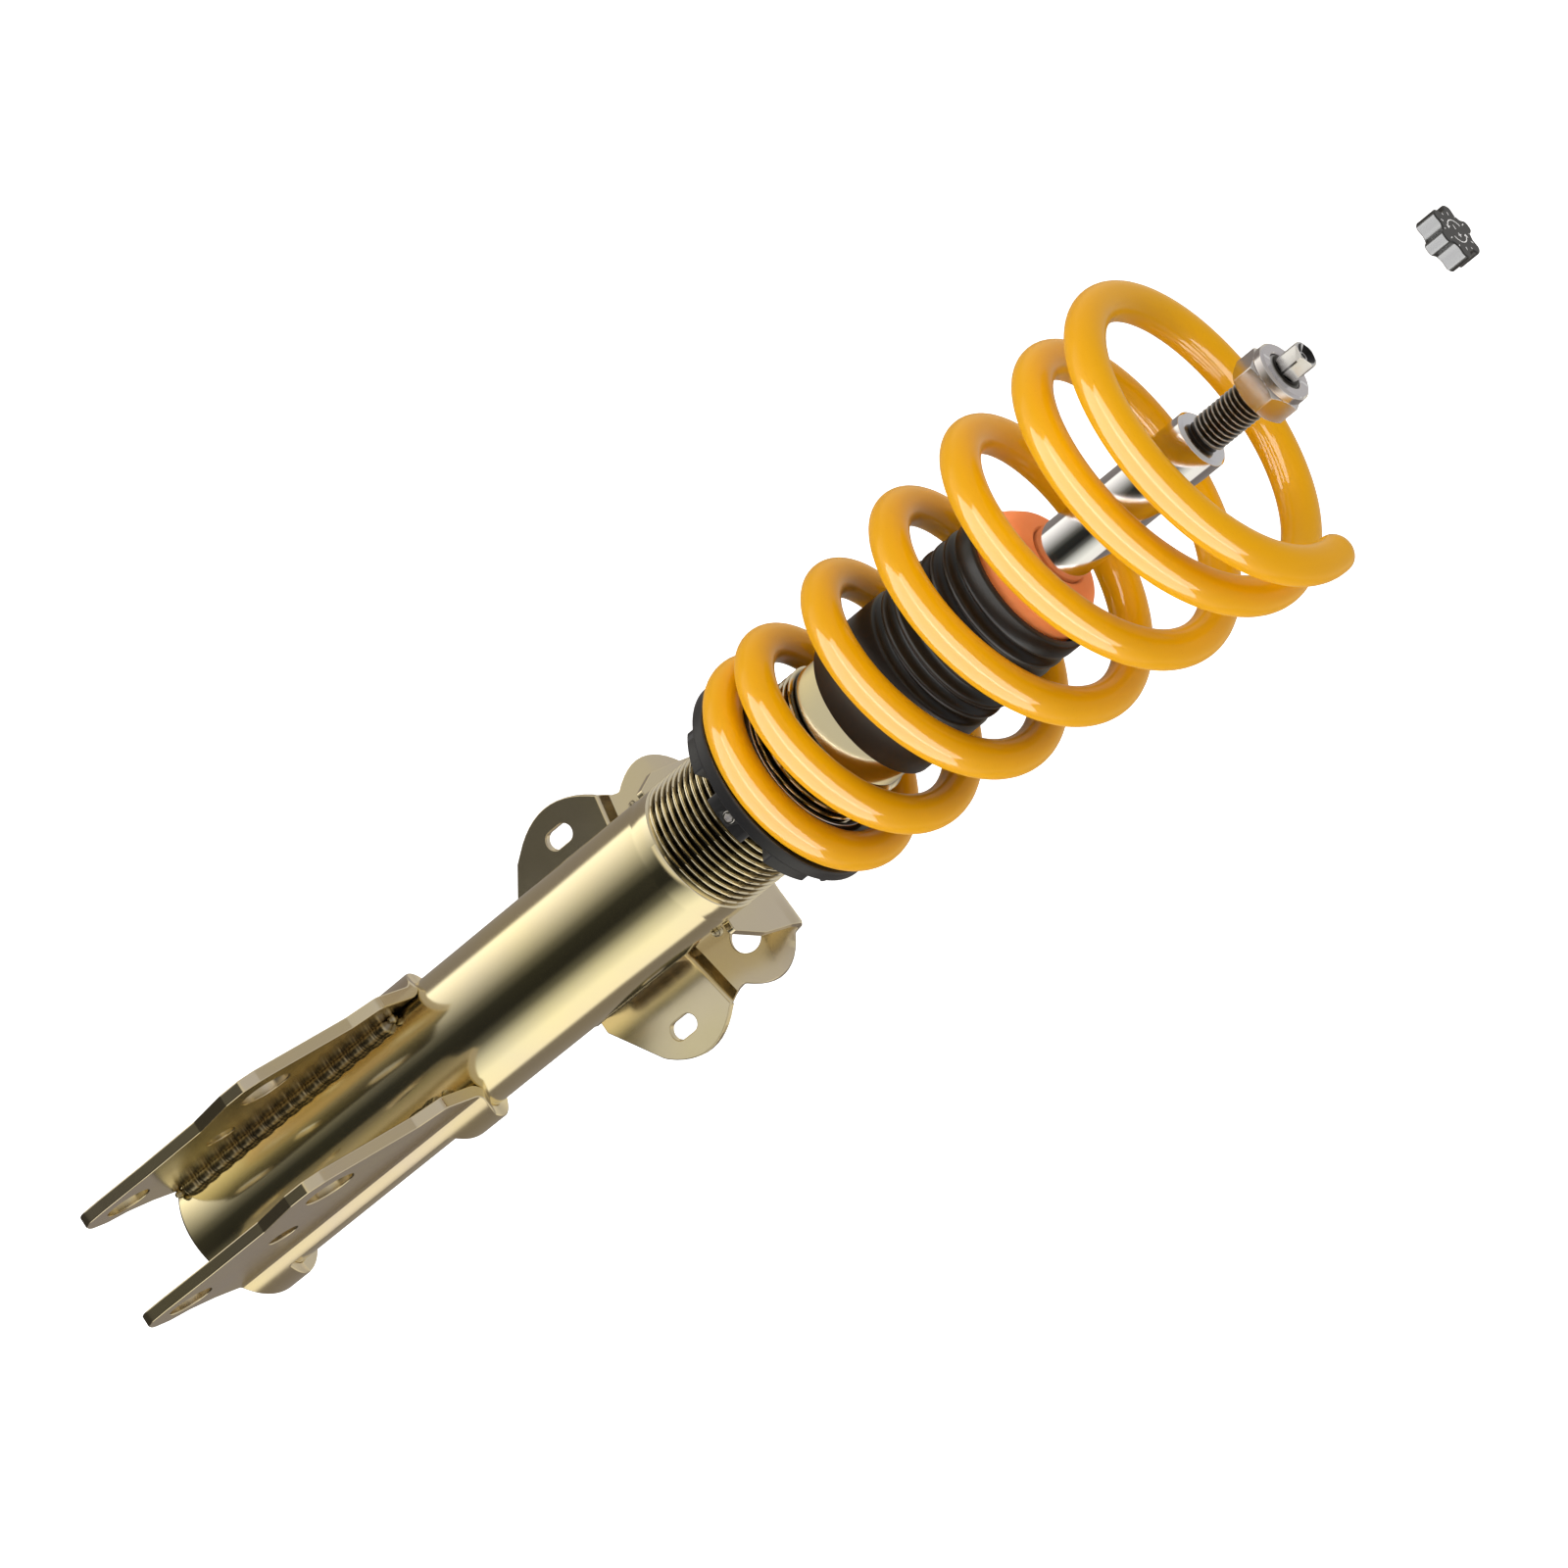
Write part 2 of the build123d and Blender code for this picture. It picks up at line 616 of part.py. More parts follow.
# Adjuster ring: a threaded collar with lugs for a hook spanner.
with BuildPart() as adjuster_ring:
    with BuildSketch(at_level(RING_BOTTOM_Z)):
        Circle(RING_R)
        with PolarLocations(RING_R, LUG_COUNT, start_angle=LUG_FACING_DEG - 90.0 + 180.0 / LUG_COUNT):
            Rectangle(2 * (RING_R - RING_ROOT_R), 2 * RING_R * math.sin(math.radians(LUG_NOTCH_DEG / 2)),
                      mode=Mode.SUBTRACT)
        Circle(RING_BORE_R, mode=Mode.SUBTRACT)
    extrude(amount=RING_TOP_Z - RING_BOTTOM_Z)
    screw_x, screw_y = facing(LUG_FACING_DEG)
    SCREW_PLANE = Plane(
        origin=(screw_x * RING_R, STRUT_Y + screw_y * RING_R, SET_SCREW_Z),
        z_dir=(screw_x, screw_y, 0),
    )
    with BuildSketch(SCREW_PLANE.offset(2.0)):
        Circle(SET_SCREW_R)
    extrude(amount=-16.0, mode=Mode.SUBTRACT)
save(adjuster_ring.part, "adjuster_ring")

with BuildPart() as set_screw:
    with BuildSketch(SCREW_PLANE.offset(-0.3)):
        Circle(SET_SCREW_R)
    extrude(amount=-8.0)
    with BuildSketch(SCREW_PLANE.offset(-0.3)):
        RegularPolygon(1.0, 6, major_radius=False)
    extrude(amount=-2.4, mode=Mode.SUBTRACT)
save(set_screw.part, "set_screw")

with BuildPart() as screw_pad:
    with BuildSketch(SCREW_PLANE.offset(-8.3)):
        Circle(SET_SCREW_R - 0.1)
    extrude(amount=-2.2)
save(screw_pad.part, "screw_pad")

# Spring seat: a flange that the ring lifts, with a hub inside the first coil.
turned(
    "spring_seat",
    (
        (RING_BORE_R, SEAT_BOTTOM_Z),
        (SEAT_R - 0.8, SEAT_BOTTOM_Z),
        (SEAT_R, SEAT_BOTTOM_Z + 0.8),
        (SEAT_R, SEAT_TOP_Z - 0.8),
        (SEAT_R - 0.8, SEAT_TOP_Z),
        (SEAT_HUB_R, SEAT_TOP_Z),
        (SEAT_HUB_R, SEAT_HUB_TOP_Z - 1.4),
        (SEAT_HUB_R - 1.4, SEAT_HUB_TOP_Z),
        (RING_BORE_R, SEAT_HUB_TOP_Z),
    ),
)


# Coil spring: a round wire swept along a coil that opens out from bottom to top.
def smooth_law(angle, column):
    """Height or radius at an angle, by a smooth cubic between the neighbouring stations."""
    last = len(SPRING_TURNS) - 1
    i = max(k for k in range(last) if SPRING_TURNS[k][0] <= angle)

    def grade(k):
        """Slope from station k to the next one."""
        rise = SPRING_TURNS[k + 1][column] - SPRING_TURNS[k][column]
        return rise / (SPRING_TURNS[k + 1][0] - SPRING_TURNS[k][0])

    def slope(k):
        """Slope at station k: the harmonic mean of the slopes on its two sides, so the curve never dips."""
        before = grade(max(k - 1, 0))
        after = grade(min(k, last - 1))
        return 2 * before * after / (before + after)

    start, end = SPRING_TURNS[i], SPRING_TURNS[i + 1]
    span = end[0] - start[0]
    t = (angle - start[0]) / span
    ease_in = (t**3 - 2 * t**2 + t) * span * slope(i)
    ease_out = (t**3 - t**2) * span * slope(i + 1)
    blend = 3 * t**2 - 2 * t**3
    return start[column] * (1 - blend) + end[column] * blend + ease_in + ease_out


def wire_point(angle):
    """The centre of the wire at an angle round the strut."""
    x, y = facing(angle)
    radius = smooth_law(angle, 2)
    return (x * radius, STRUT_Y + y * radius, smooth_law(angle, 1))


first_angle = SPRING_TURNS[0][0]
last_angle = SPRING_TURNS[-1][0]
step_count = round((last_angle - first_angle) / SPRING_STEP_DEG)
wire_angles = [first_angle + (last_angle - first_angle) * i / step_count for i in range(step_count)]
with BuildPart() as coil_spring:
    with BuildLine() as wire_line:
        Spline(*[wire_point(a) for a in wire_angles], wire_point(last_angle - 0.001))
    with BuildSketch(Plane(origin=wire_line.line @ 0, z_dir=wire_line.line % 0)):
        Circle(WIRE_R)
    sweep(path=wire_line.line)
save(coil_spring.part, "coil_spring")

# Dust boot: a rubber sleeve with a plain cuff and folds above it.
fold_pitch = (BOOT_TOP_Z - 3.0 - BOOT_FOLD_START_Z) / BOOT_FOLDS
outer_wall = [(BOOT_R, BOOT_BOTTOM_Z), (BOOT_R, BOOT_FOLD_START_Z)]
for fold in range(BOOT_FOLDS):
    fold_z = BOOT_FOLD_START_Z + fold * fold_pitch
    outer_wall.append((BOOT_R - BOOT_FOLD_DEPTH / 2, fold_z + fold_pitch / 2))
    outer_wall.append((BOOT_R, fold_z + fold_pitch))
outer_wall.append((BOOT_R, BOOT_TOP_Z))
inner_wall = [(r - BOOT_WALL, z) for r, z in reversed(outer_wall)]
turned("dust_boot", (*outer_wall, *inner_wall))

# Bump stop: a foam block on the rod, its domed nose above the boot.
with BuildPart() as bump_stop:
    with BuildSketch(AXIS_SECTION):
        with BuildLine():
            Line((STOP_BORE_R, STOP_BOTTOM_Z), (STOP_R, STOP_BOTTOM_Z))
            Line((STOP_R, STOP_BOTTOM_Z), (STOP_R, BOOT_TOP_Z - 2.0))
            ThreePointArc((STOP_R, BOOT_TOP_Z - 2.0), (22.4, BOOT_TOP_Z + 5.5), (15.0, STOP_TOP_Z))
            Line((15.0, STOP_TOP_Z), (STOP_BORE_R, STOP_TOP_Z))
            Line((STOP_BORE_R, STOP_TOP_Z), (STOP_BORE_R, STOP_BOTTOM_Z))
        make_face()
    revolve(axis=STRUT_AXIS)
save(bump_stop.part, "bump_stop")

# Adjuster knob with its drive pin.
with BuildPart() as adjuster_knob:
    with BuildSketch(at_level(KNOB_BOTTOM_Z)):
        Circle(KNOB_R - 1.6)
        with PolarLocations(KNOB_R - 3.2, KNOB_LOBES, start_angle=KNOB_LOBE_DEG - 90.0):
            Circle(3.2)
    extrude(amount=KNOB_TOP_Z - KNOB_BOTTOM_Z)
    chamfer(adjuster_knob.faces().sort_by(Axis.Z)[-1].edges(), 0.6)
    with BuildSketch(at_level(KNOB_BOTTOM_Z)):
        Circle(PIN_R)
    extrude(amount=5.0, mode=Mode.SUBTRACT)
save(adjuster_knob.part, "adjuster_knob")

PIN_TOP_Z = KNOB_BOTTOM_Z + 5.0
turned("knob_pin", ((0, PIN_BOTTOM_Z), (PIN_R, PIN_BOTTOM_Z), (PIN_R, PIN_TOP_Z), (0, PIN_TOP_Z)))
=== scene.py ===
import math

import bmesh
import bpy
import numpy as np
from mathutils import Matrix, Vector
from mathutils.geometry import delaunay_2d_cdt


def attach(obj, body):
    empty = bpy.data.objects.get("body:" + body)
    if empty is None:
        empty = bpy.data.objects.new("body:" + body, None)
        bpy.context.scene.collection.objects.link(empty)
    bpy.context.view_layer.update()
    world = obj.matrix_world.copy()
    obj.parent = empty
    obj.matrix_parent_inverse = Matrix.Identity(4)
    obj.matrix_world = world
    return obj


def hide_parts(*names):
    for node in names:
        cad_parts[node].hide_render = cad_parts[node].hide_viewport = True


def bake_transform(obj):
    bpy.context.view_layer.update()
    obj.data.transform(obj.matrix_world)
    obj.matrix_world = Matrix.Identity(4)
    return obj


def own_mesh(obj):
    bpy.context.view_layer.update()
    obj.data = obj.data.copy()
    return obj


# A height adjustable strut coilover. Shapes are in millimetres in the CAD frame and become metres in
# make_mesh. The strut axis is upright at y = AXIS_Y; angles round it run from -Y (0) towards +X (90).

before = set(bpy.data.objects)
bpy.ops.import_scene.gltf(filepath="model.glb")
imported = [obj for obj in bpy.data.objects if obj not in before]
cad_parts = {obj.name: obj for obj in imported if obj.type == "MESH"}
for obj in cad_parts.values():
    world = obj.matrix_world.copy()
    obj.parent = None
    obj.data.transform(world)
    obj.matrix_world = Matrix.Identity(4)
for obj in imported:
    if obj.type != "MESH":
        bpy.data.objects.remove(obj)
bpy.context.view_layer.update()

MM = 0.001
AXIS_Y = 61.0
TURN = 2 * math.pi


# ---------------------------------------------------------------------------------------------- meshes


def make_mesh(name, points, faces, material, sharp=35.0, normals=None):
    """A smooth-shaded mesh object from points in millimetres. Edges above the sharp angle stay crisp."""
    mesh = bpy.data.meshes.new(name)
    mesh.from_pydata((np.asarray(points, float) * MM).tolist(), [], faces)
    mesh.update()
    obj = bpy.data.objects.new(name, mesh)
    bpy.context.collection.objects.link(obj)
    mesh.materials.append(material)
    mesh.polygons.foreach_set("use_smooth", [True] * len(mesh.polygons))
    if normals is None:
        work = bmesh.new()
        work.from_mesh(mesh)
        bmesh.ops.remove_doubles(work, verts=work.verts, dist=1e-7)
        bmesh.ops.recalc_face_normals(work, faces=work.faces)
        work.to_mesh(mesh)
        work.free()
        mesh.set_sharp_from_angle(angle=math.radians(sharp))
    else:
        mesh.normals_split_custom_set_from_vertices([tuple(n) for n in normals])
    return obj


def place_piece(obj, body, *nodes, slot=None):
    """Fixes a finished piece to its CAD body, in place of the CAD nodes that it stands for."""
    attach(obj, body)
    if nodes:
        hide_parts(*nodes)
    return obj


def around(angle, radius, z):
    """The point at an angle in radians, a radius and a height round the strut axis."""
    return (radius * math.sin(angle), AXIS_Y - radius * math.cos(angle), z)


def rounded(corners, steps=5, closed=False):
    """A polyline through (a, b, radius) corners, with each corner rounded by its radius."""
    out = []
    count = len(corners)
    for i, (a, b, radius) in enumerate(corners):
        here = Vector((a, b))
        if radius <= 0 or (not closed and i in (0, count - 1)):
            out.append((a, b))
            continue
        before = Vector(corners[i - 1][:2]) - here
        after = Vector(corners[(i + 1) % count][:2]) - here
        angle = before.angle(after)
        if angle > math.radians(178):
            out.append((a, b))
            continue
        cut = min(radius / math.tan(angle / 2), 0.49 * before.length, 0.49 * after.length)
        radius = cut * math.tan(angle / 2)
        bisector = (before.normalized() + after.normalized()).normalized()
        centre = here + bisector * (radius / math.sin(angle / 2))
        start = here + before.normalized() * cut - centre
        turn = start.angle_signed(here + after.normalized() * cut - centre)
        for k in range(steps + 1):
            spoke = start.copy()
            spoke.rotate(Matrix.Rotation(-turn * k / steps, 2))
            out.append(tuple(centre + spoke))
    return out


def arc(centre, radius, start, end, steps=16):
    """Points on a circle from one angle to another, in degrees, both ends included."""
    angles = np.radians(np.linspace(start, end, steps + 1))
    return [(centre[0] + radius * math.cos(a), centre[1] + radius * math.sin(a)) for a in angles]


def subdivide(path, step, closed=False):
    """The same path with more points on it, none further apart than a step."""
    fine = []
    for p, q in zip(path, path[1:] + (path[:1] if closed else [])):
        count = max(1, math.ceil(math.dist(p, q) / step))
        fine += [tuple(a + (b - a) * k / count for a, b in zip(p, q)) for k in range(count)]
    return fine if closed else fine + [path[-1]]


def lengths_along(path):
    """The distance from a path's start to each of its points."""
    return np.concatenate([[0.0], np.cumsum([math.dist(p, q) for p, q in zip(path[:-1], path[1:])])])


def lathe(name, profile, material, segments=128, closed=True, swell=None, sharp=35.0):
    """A (radius, height) outline turned round the strut axis. swell(angle, radius, z) may change a radius."""
    points, faces = [], []
    rows = len(profile)
    for radius, z in profile:
        for k in range(segments):
            angle = TURN * k / segments
            points.append(around(angle, swell(angle, radius, z) if swell else radius, z))
    for i in range(rows if closed else rows - 1):
        a, b = i * segments, (i + 1) % rows * segments
        for k in range(segments):
            n = (k + 1) % segments
            faces.append((a + k, a + n, b + n, b + k))
    return make_mesh(name, points, faces, material, sharp)


def tube(name, path, radii, material, segments=24, sharp=35.0, flat=1.0, up=None):
    """A round bar along a path, with a radius for each point and closed ends. flat squeezes it across up."""
    path = np.asarray(path, float)
    heading = np.gradient(path, axis=0)
    heading /= np.linalg.norm(heading, axis=1)[:, None]
    side = np.cross(heading[0], (0.0, 0.0, 1.0) if up is None else up)
    points, faces = [], []
    for i, centre in enumerate(path):
        side = side - heading[i] * side.dot(heading[i])
        side /= np.linalg.norm(side)
        lift = np.cross(side, heading[i])
        for k in range(segments):
            a = TURN * k / segments
            points.append(centre + radii[i] * (math.cos(a) * side + flat * math.sin(a) * lift))
    for i in range(len(path) - 1):
        for k in range(segments):
            n = (k + 1) % segments
            faces.append((i * segments + k, i * segments + n, (i + 1) * segments + n, (i + 1) * segments + k))
    faces.append(tuple(range(segments)))
    faces.append(tuple(range((len(path) - 1) * segments, len(path) * segments)))
    return make_mesh(name, points, faces, material, sharp)


def inside(x, y, loop):
    """Which of the points x, y lie inside a closed loop, by the even-odd rule."""
    result = np.zeros(len(x), bool)
    for (x0, y0), (x1, y1) in zip(loop, np.roll(loop, -1, axis=0)):
        crosses = (y0 > y) != (y1 > y)
        if y1 != y0:
            result ^= crosses & (x < (x1 - x0) * (y - y0) / (y1 - y0) + x0)
    return result


def dense(loop, step):
    """The loop with its long edges divided, counter-clockwise."""
    loop = np.asarray(loop, float)
    out = []
    for p, q in zip(loop, np.roll(loop, -1, axis=0)):
        length = np.linalg.norm(q - p)
        if length < 1e-6:
            continue
        for k in range(max(1, math.ceil(length / step))):
            out.append(p + (q - p) * k / max(1, math.ceil(length / step)))
    out = np.array(out)
    x, y = out.T
    area = np.sum(x * np.roll(y, -1) - y * np.roll(x, -1))
    return out if area > 0 else out[::-1]


def plate(name, outline, holes, place, thickness, edge, step, material, rim_steps=4, folds=()):
    """A plate cut to an outline with holes, laid along the surface place(u, v), with rounded edges.

    folds are points along its sharp bends, so the mesh follows them."""
    loops = [dense(outline, step)] + [dense(h, step)[::-1] for h in holes]
    inwards = []
    for loop in loops:
        ahead, behind = np.roll(loop, -1, axis=0) - loop, loop - np.roll(loop, 1, axis=0)
        ahead /= np.linalg.norm(ahead, axis=1)[:, None]
        behind /= np.linalg.norm(behind, axis=1)[:, None]
        along = ahead + behind
        along /= np.linalg.norm(along, axis=1)[:, None]
        inwards.append(np.stack([-along[:, 1], along[:, 0]], axis=1))
    flat_loops = [loop + inward * edge for loop, inward in zip(loops, inwards)]
    low, high = flat_loops[0].min(axis=0), flat_loops[0].max(axis=0)
    columns, rows = (np.arange(low[k] + step / 2, high[k], step) for k in (0, 1))
    gx, gy = (g.ravel() for g in np.meshgrid(columns, rows))
    keep = inside(gx, gy, flat_loops[0])
    for loop in flat_loops[1:]:
        keep &= ~inside(gx, gy, loop)
    rim = np.concatenate(flat_loops)
    gx, gy = gx[keep], gy[keep]
    near = np.array([np.min(np.hypot(rim[:, 0] - a, rim[:, 1] - b)) for a, b in zip(gx, gy)])
    gx, gy = gx[near > 0.45 * step], gy[near > 0.45 * step]
    grid = np.stack([gx, gy], axis=1)
    if len(folds):
        crease = np.array(folds)
        kept = inside(crease[:, 0], crease[:, 1], flat_loops[0])
        for loop in flat_loops[1:]:
            kept &= ~inside(crease[:, 0], crease[:, 1], loop)
        kept &= np.array([np.min(np.hypot(*(rim - c).T)) > 0.1 for c in crease])
        crease = crease[kept]
        apart = np.array([np.min(np.hypot(*(crease - g).T)) for g in grid])
        grid = np.concatenate([grid[apart > 0.4 * step], crease])
    flat = np.concatenate([rim, grid])
    edges, start = [], 0
    for loop in flat_loops:
        edges += [(start + k, start + (k + 1) % len(loop)) for k in range(len(loop))]
        start += len(loop)
    _, _, triangles, sources, _, _ = delaunay_2d_cdt([Vector(p) for p in flat], edges, [], 0, 1e-6)
    index = [s[0] for s in sources]
    triangles = [tuple(index[v] for v in t) for t in triangles]
    middle = np.array([flat[list(t)].mean(axis=0) for t in triangles])
    keep = inside(middle[:, 0], middle[:, 1], flat_loops[0])
    for loop in flat_loops[1:]:
        keep &= ~inside(middle[:, 0], middle[:, 1], loop)
    triangles = [t for t, k in zip(triangles, keep) if k]

    def lay(uv, outward, height, lean):
        """Point and normal on the plate: lean 0 faces up the surface's normal, 90 faces the rim's outside."""
        d = 0.05
        here = np.array(place(*uv))
        tu = (np.array(place(uv[0] + d, uv[1])) - np.array(place(uv[0] - d, uv[1]))) / (2 * d)
        tv = (np.array(place(uv[0], uv[1] + d)) - np.array(place(uv[0], uv[1] - d))) / (2 * d)
        up = np.cross(tu, tv)
        up /= np.linalg.norm(up)
        out = tu * outward[0] + tv * outward[1]
        out /= max(np.linalg.norm(out), 1e-9)
        lean = math.radians(lean)
        return here + up * height, math.cos(lean) * up + math.sin(lean) * out

    points, normals, faces = [], [], []
    half = thickness / 2
    zero = np.zeros(2)
    for sign in (1, -1):
        base = len(points)
        for i, uv in enumerate(flat):
            point, normal = lay(uv, zero, sign * half, 0 if sign > 0 else 180)
            points.append(point)
            normals.append(normal)
        for t in triangles:
            faces.append(tuple(base + v for v in (t if sign > 0 else t[::-1])))
    rows = []
    for k in range(rim_steps + 1):
        rows.append((90.0 * k / rim_steps, 1))
    for k in range(rim_steps, -1, -1):
        rows.append((90.0 * k / rim_steps, -1))
    start = 0
    for loop, inward in zip(loops, inwards):
        count = len(loop)
        base = len(points)
        for lean, sign in rows:
            a = math.radians(lean)
            inset, height = edge * (1 - math.sin(a)), sign * (half - edge * (1 - math.cos(a)))
            for uv, n in zip(loop, inward):
                point, normal = lay(uv + n * inset, -n, height, lean if sign > 0 else 180 - lean)
                points.append(point)
                normals.append(normal)
        for r in range(len(rows) - 1):
            for k in range(count):
                n = (k + 1) % count
                a, b = base + r * count, base + (r + 1) * count
                faces.append((a + k, b + k, b + n, a + n))
        start += count
    return make_mesh(name, points, faces, material, normals=normals)


def join(name, parts):
    """One object from several finished meshes, keeping their shading."""
    with bpy.context.temp_override(
        active_object=parts[0], object=parts[0], selected_objects=parts, selected_editable_objects=parts
    ):
        bpy.ops.object.join()
    parts[0].name = parts[0].data.name = name
    return parts[0]


def cut(obj, *cutters):
    """Removes the cutters' space from a mesh."""
    for cutter in cutters:
        mod = obj.modifiers.new("cut", "BOOLEAN")
        mod.object = cutter
        mod.operation = "DIFFERENCE"
        mod.solver = "EXACT"
    evaluated = obj.evaluated_get(bpy.context.evaluated_depsgraph_get())
    mesh = bpy.data.meshes.new_from_object(evaluated)
    obj.modifiers.clear()
    obj.data = mesh
    mesh.set_sharp_from_angle(angle=math.radians(35))
    for cutter in cutters:
        bpy.data.objects.remove(cutter)
    return obj


# ------------------------------------------------------------------------------------------- materials


class Nodes:
    """A short way to build a material's nodes, left to right."""

    def __init__(self, name):
        self.material = bpy.data.materials.new(name)
        self.material.use_nodes = True
        self.tree = self.material.node_tree
        self.shader = self.tree.nodes["Principled BSDF"]
        self.place = self.add("ShaderNodeTexCoord").outputs["Object"]

    def add(self, kind, inputs=(), **settings):
        node = self.tree.nodes.new(kind)
        for key, value in settings.items():
            setattr(node, key, value)
        for key, value in dict(inputs).items():
            self.put(node.inputs[key], value)
        return node

    def put(self, socket, value):
        if isinstance(value, bpy.types.NodeSocket):
            self.tree.links.new(value, socket)
        else:
            socket.default_value = value

    def noise(self, scale, detail=3.0, rough=0.5, stretch=None):
        place = self.place
        if stretch:
            mapping = self.add("ShaderNodeMapping", {"Vector": place})
            mapping.inputs["Scale"].default_value = stretch
            place = mapping.outputs["Vector"]
        settings = {"Vector": place, "Scale": scale, "Detail": detail, "Roughness": rough}
        node = self.add("ShaderNodeTexNoise", settings)
        return node.outputs["Fac"]

    def ramp(self, value, *stops):
        node = self.add("ShaderNodeValToRGB", {"Fac": value})
        elements = node.color_ramp.elements
        while len(elements) < len(stops):
            elements.new(0.5)
        for element, (position, colour) in zip(elements, stops):
            element.position = position
            element.color = (*colour, 1.0) if len(colour) == 3 else colour
        return node.outputs["Color"]

    def span(self, value, low, high):
        """A texture's 0 to 1 spread over low to high."""
        node = self.add("ShaderNodeMapRange", {"Value": value, "To Min": low, "To Max": high})
        return node.outputs["Result"]

    def mix(self, factor, a, b, blend="MIX"):
        node = self.add("ShaderNodeMix", data_type="RGBA", blend_type=blend)
        self.put(node.inputs[0], factor)
        for socket, value in ((node.inputs[6], a), (node.inputs[7], b)):
            self.put(socket, (*value, 1.0) if isinstance(value, tuple) and len(value) == 3 else value)
        return node.outputs[2]

    def math(self, operation, a, b=0.0):
        node = self.add("ShaderNodeMath", operation=operation)
        self.put(node.inputs[0], a)
        self.put(node.inputs[1], b)
        return node.outputs[0]

    def convex_edges(self):
        """1 on convex edges, 0 elsewhere; the materials make these edges paler."""
        geometry = self.add("ShaderNodeNewGeometry")
        return self.ramp(geometry.outputs["Pointiness"], (0.515, (0, 0, 0)), (0.58, (1, 1, 1)))

    def groove(self, root, crest):
        """1 at a thread's root radius round the strut axis, 0 at its crest, both in millimetres: the mask for
        shade painted into a thread's grooves.
        """
        x, y, _ = self.add("ShaderNodeSeparateXYZ", {"Vector": self.place}).outputs
        y = self.math("SUBTRACT", y, AXIS_Y * MM)
        radius = self.math("SQRT", self.math("ADD", self.math("MULTIPLY", x, x), self.math("MULTIPLY", y, y)))
        span = {"Value": radius, "From Min": root * MM, "From Max": crest * MM}
        node = self.add("ShaderNodeMapRange", span)
        return self.math("SUBTRACT", 1.0, node.outputs["Result"])

    def bump(self, height, distance, strength=1.0, normal=None):
        node = self.add("ShaderNodeBump", {"Height": height, "Distance": distance, "Strength": strength})
        if normal:
            self.put(node.inputs["Normal"], normal)
        return node.outputs["Normal"]

    def finish(self, **sockets):
        for key, value in sockets.items():
            socket = self.shader.inputs[key.replace("_", " ")]
            if isinstance(value, tuple) and len(value) == 3 and socket.type == "RGBA":
                value = (*value, 1.0)
            self.put(socket, value)
        return self.material


def srgb(text):
    """Linear colour of a six-digit hex code."""
    parts = [int(text[i : i + 2], 16) / 255 for i in (0, 2, 4)]
    return tuple(c / 12.92 if c < 0.04045 else ((c + 0.055) / 1.055) ** 2.4 for c in parts)


def plated_steel(name, pale, deep, edge, roughness=0.14, brushed=None, thread=None):
    """Yellow zinc plating: a glossy film whose tint drifts, with fine drawing marks under it, and shade
    painted near black into a thread's grooves.
    """
    n = Nodes(name)
    drift = n.noise(14.0, 2.0, 0.45)
    tint = n.ramp(drift, (0.3, pale), (0.52, deep), (0.72, pale))
    film = n.noise(38.0, 3.0, 0.55)
    tint = n.mix(n.span(film, 0.0, 0.30), tint, srgb("dccfc4"))
    tint = n.mix(n.convex_edges(), tint, edge)
    # Painted shade: a thread's grooves are darkened towards near black.
    if thread:
        tint = n.mix(n.groove(*thread), tint, srgb("15110c"))
    grain = n.noise(90.0, 4.0, 0.6, brushed or (1.0, 1.0, 0.06))
    fine = n.noise(900.0, 2.0, 0.5)
    rough = n.math("ADD", n.span(grain, roughness - 0.03, roughness + 0.05), n.span(fine, -0.015, 0.015))
    normal = n.bump(grain, 0.000004, 0.12)
    normal = n.bump(fine, 0.000003, 0.12, normal)
    return n.finish(Base_Color=tint, Metallic=1.0, Roughness=rough, Normal=normal)


def bare_metal(name, light, dark, roughness, stretch=(1.0, 1.0, 1.0), scale=120.0, thread=None):
    """Machined or polished metal with fine marks, and shade painted dark into a thread's grooves."""
    n = Nodes(name)
    marks = n.noise(scale, 4.0, 0.55, stretch)
    cloud = n.noise(24.0, 2.0, 0.5)
    tint = n.mix(n.span(cloud, 0.0, 1.0), light, dark)
    tint = n.mix(n.convex_edges(), tint, srgb("f2f2f2"))
    # Painted shade: a thread's grooves are darkened.
    if thread:
        tint = n.mix(n.groove(*thread), tint, srgb("2c2824"))
    rough = n.span(marks, roughness * 0.7, roughness * 1.3)
    return n.finish(Base_Color=tint, Metallic=1.0, Roughness=rough, Normal=n.bump(marks, 0.000004, 0.15))


def spring_paint():
    """Glossy powder coat: even colour with a faint orange peel under a clear top."""
    n = Nodes("spring_paint")
    cloud = n.noise(9.0, 2.0, 0.5)
    tint = n.ramp(cloud, (0.3, srgb("cd9102")), (0.55, srgb("d29703")), (0.75, srgb("d79d05")))
    peel = n.noise(420.0, 2.0, 0.45)
    specks = n.ramp(n.noise(1500.0, 1.0, 0.5), (0.68, (0, 0, 0)), (0.74, (1, 1, 1)))
    tint = n.mix(n.math("MULTIPLY", specks, 0.25), tint, srgb("b87c04"))
    rough = n.span(n.noise(60.0, 3.0, 0.5), 0.26, 0.36)
    normal = n.bump(peel, 0.00003, 0.22)
    n.put(n.shader.inputs["Coat Normal"], n.bump(peel, 0.000006, 0.06))
    return n.finish(
        Base_Color=tint, Roughness=rough, Normal=normal, Coat_Weight=0.34, Coat_Roughness=0.03, Coat_IOR=1.5,
        Specular_IOR_Level=0.05
    )


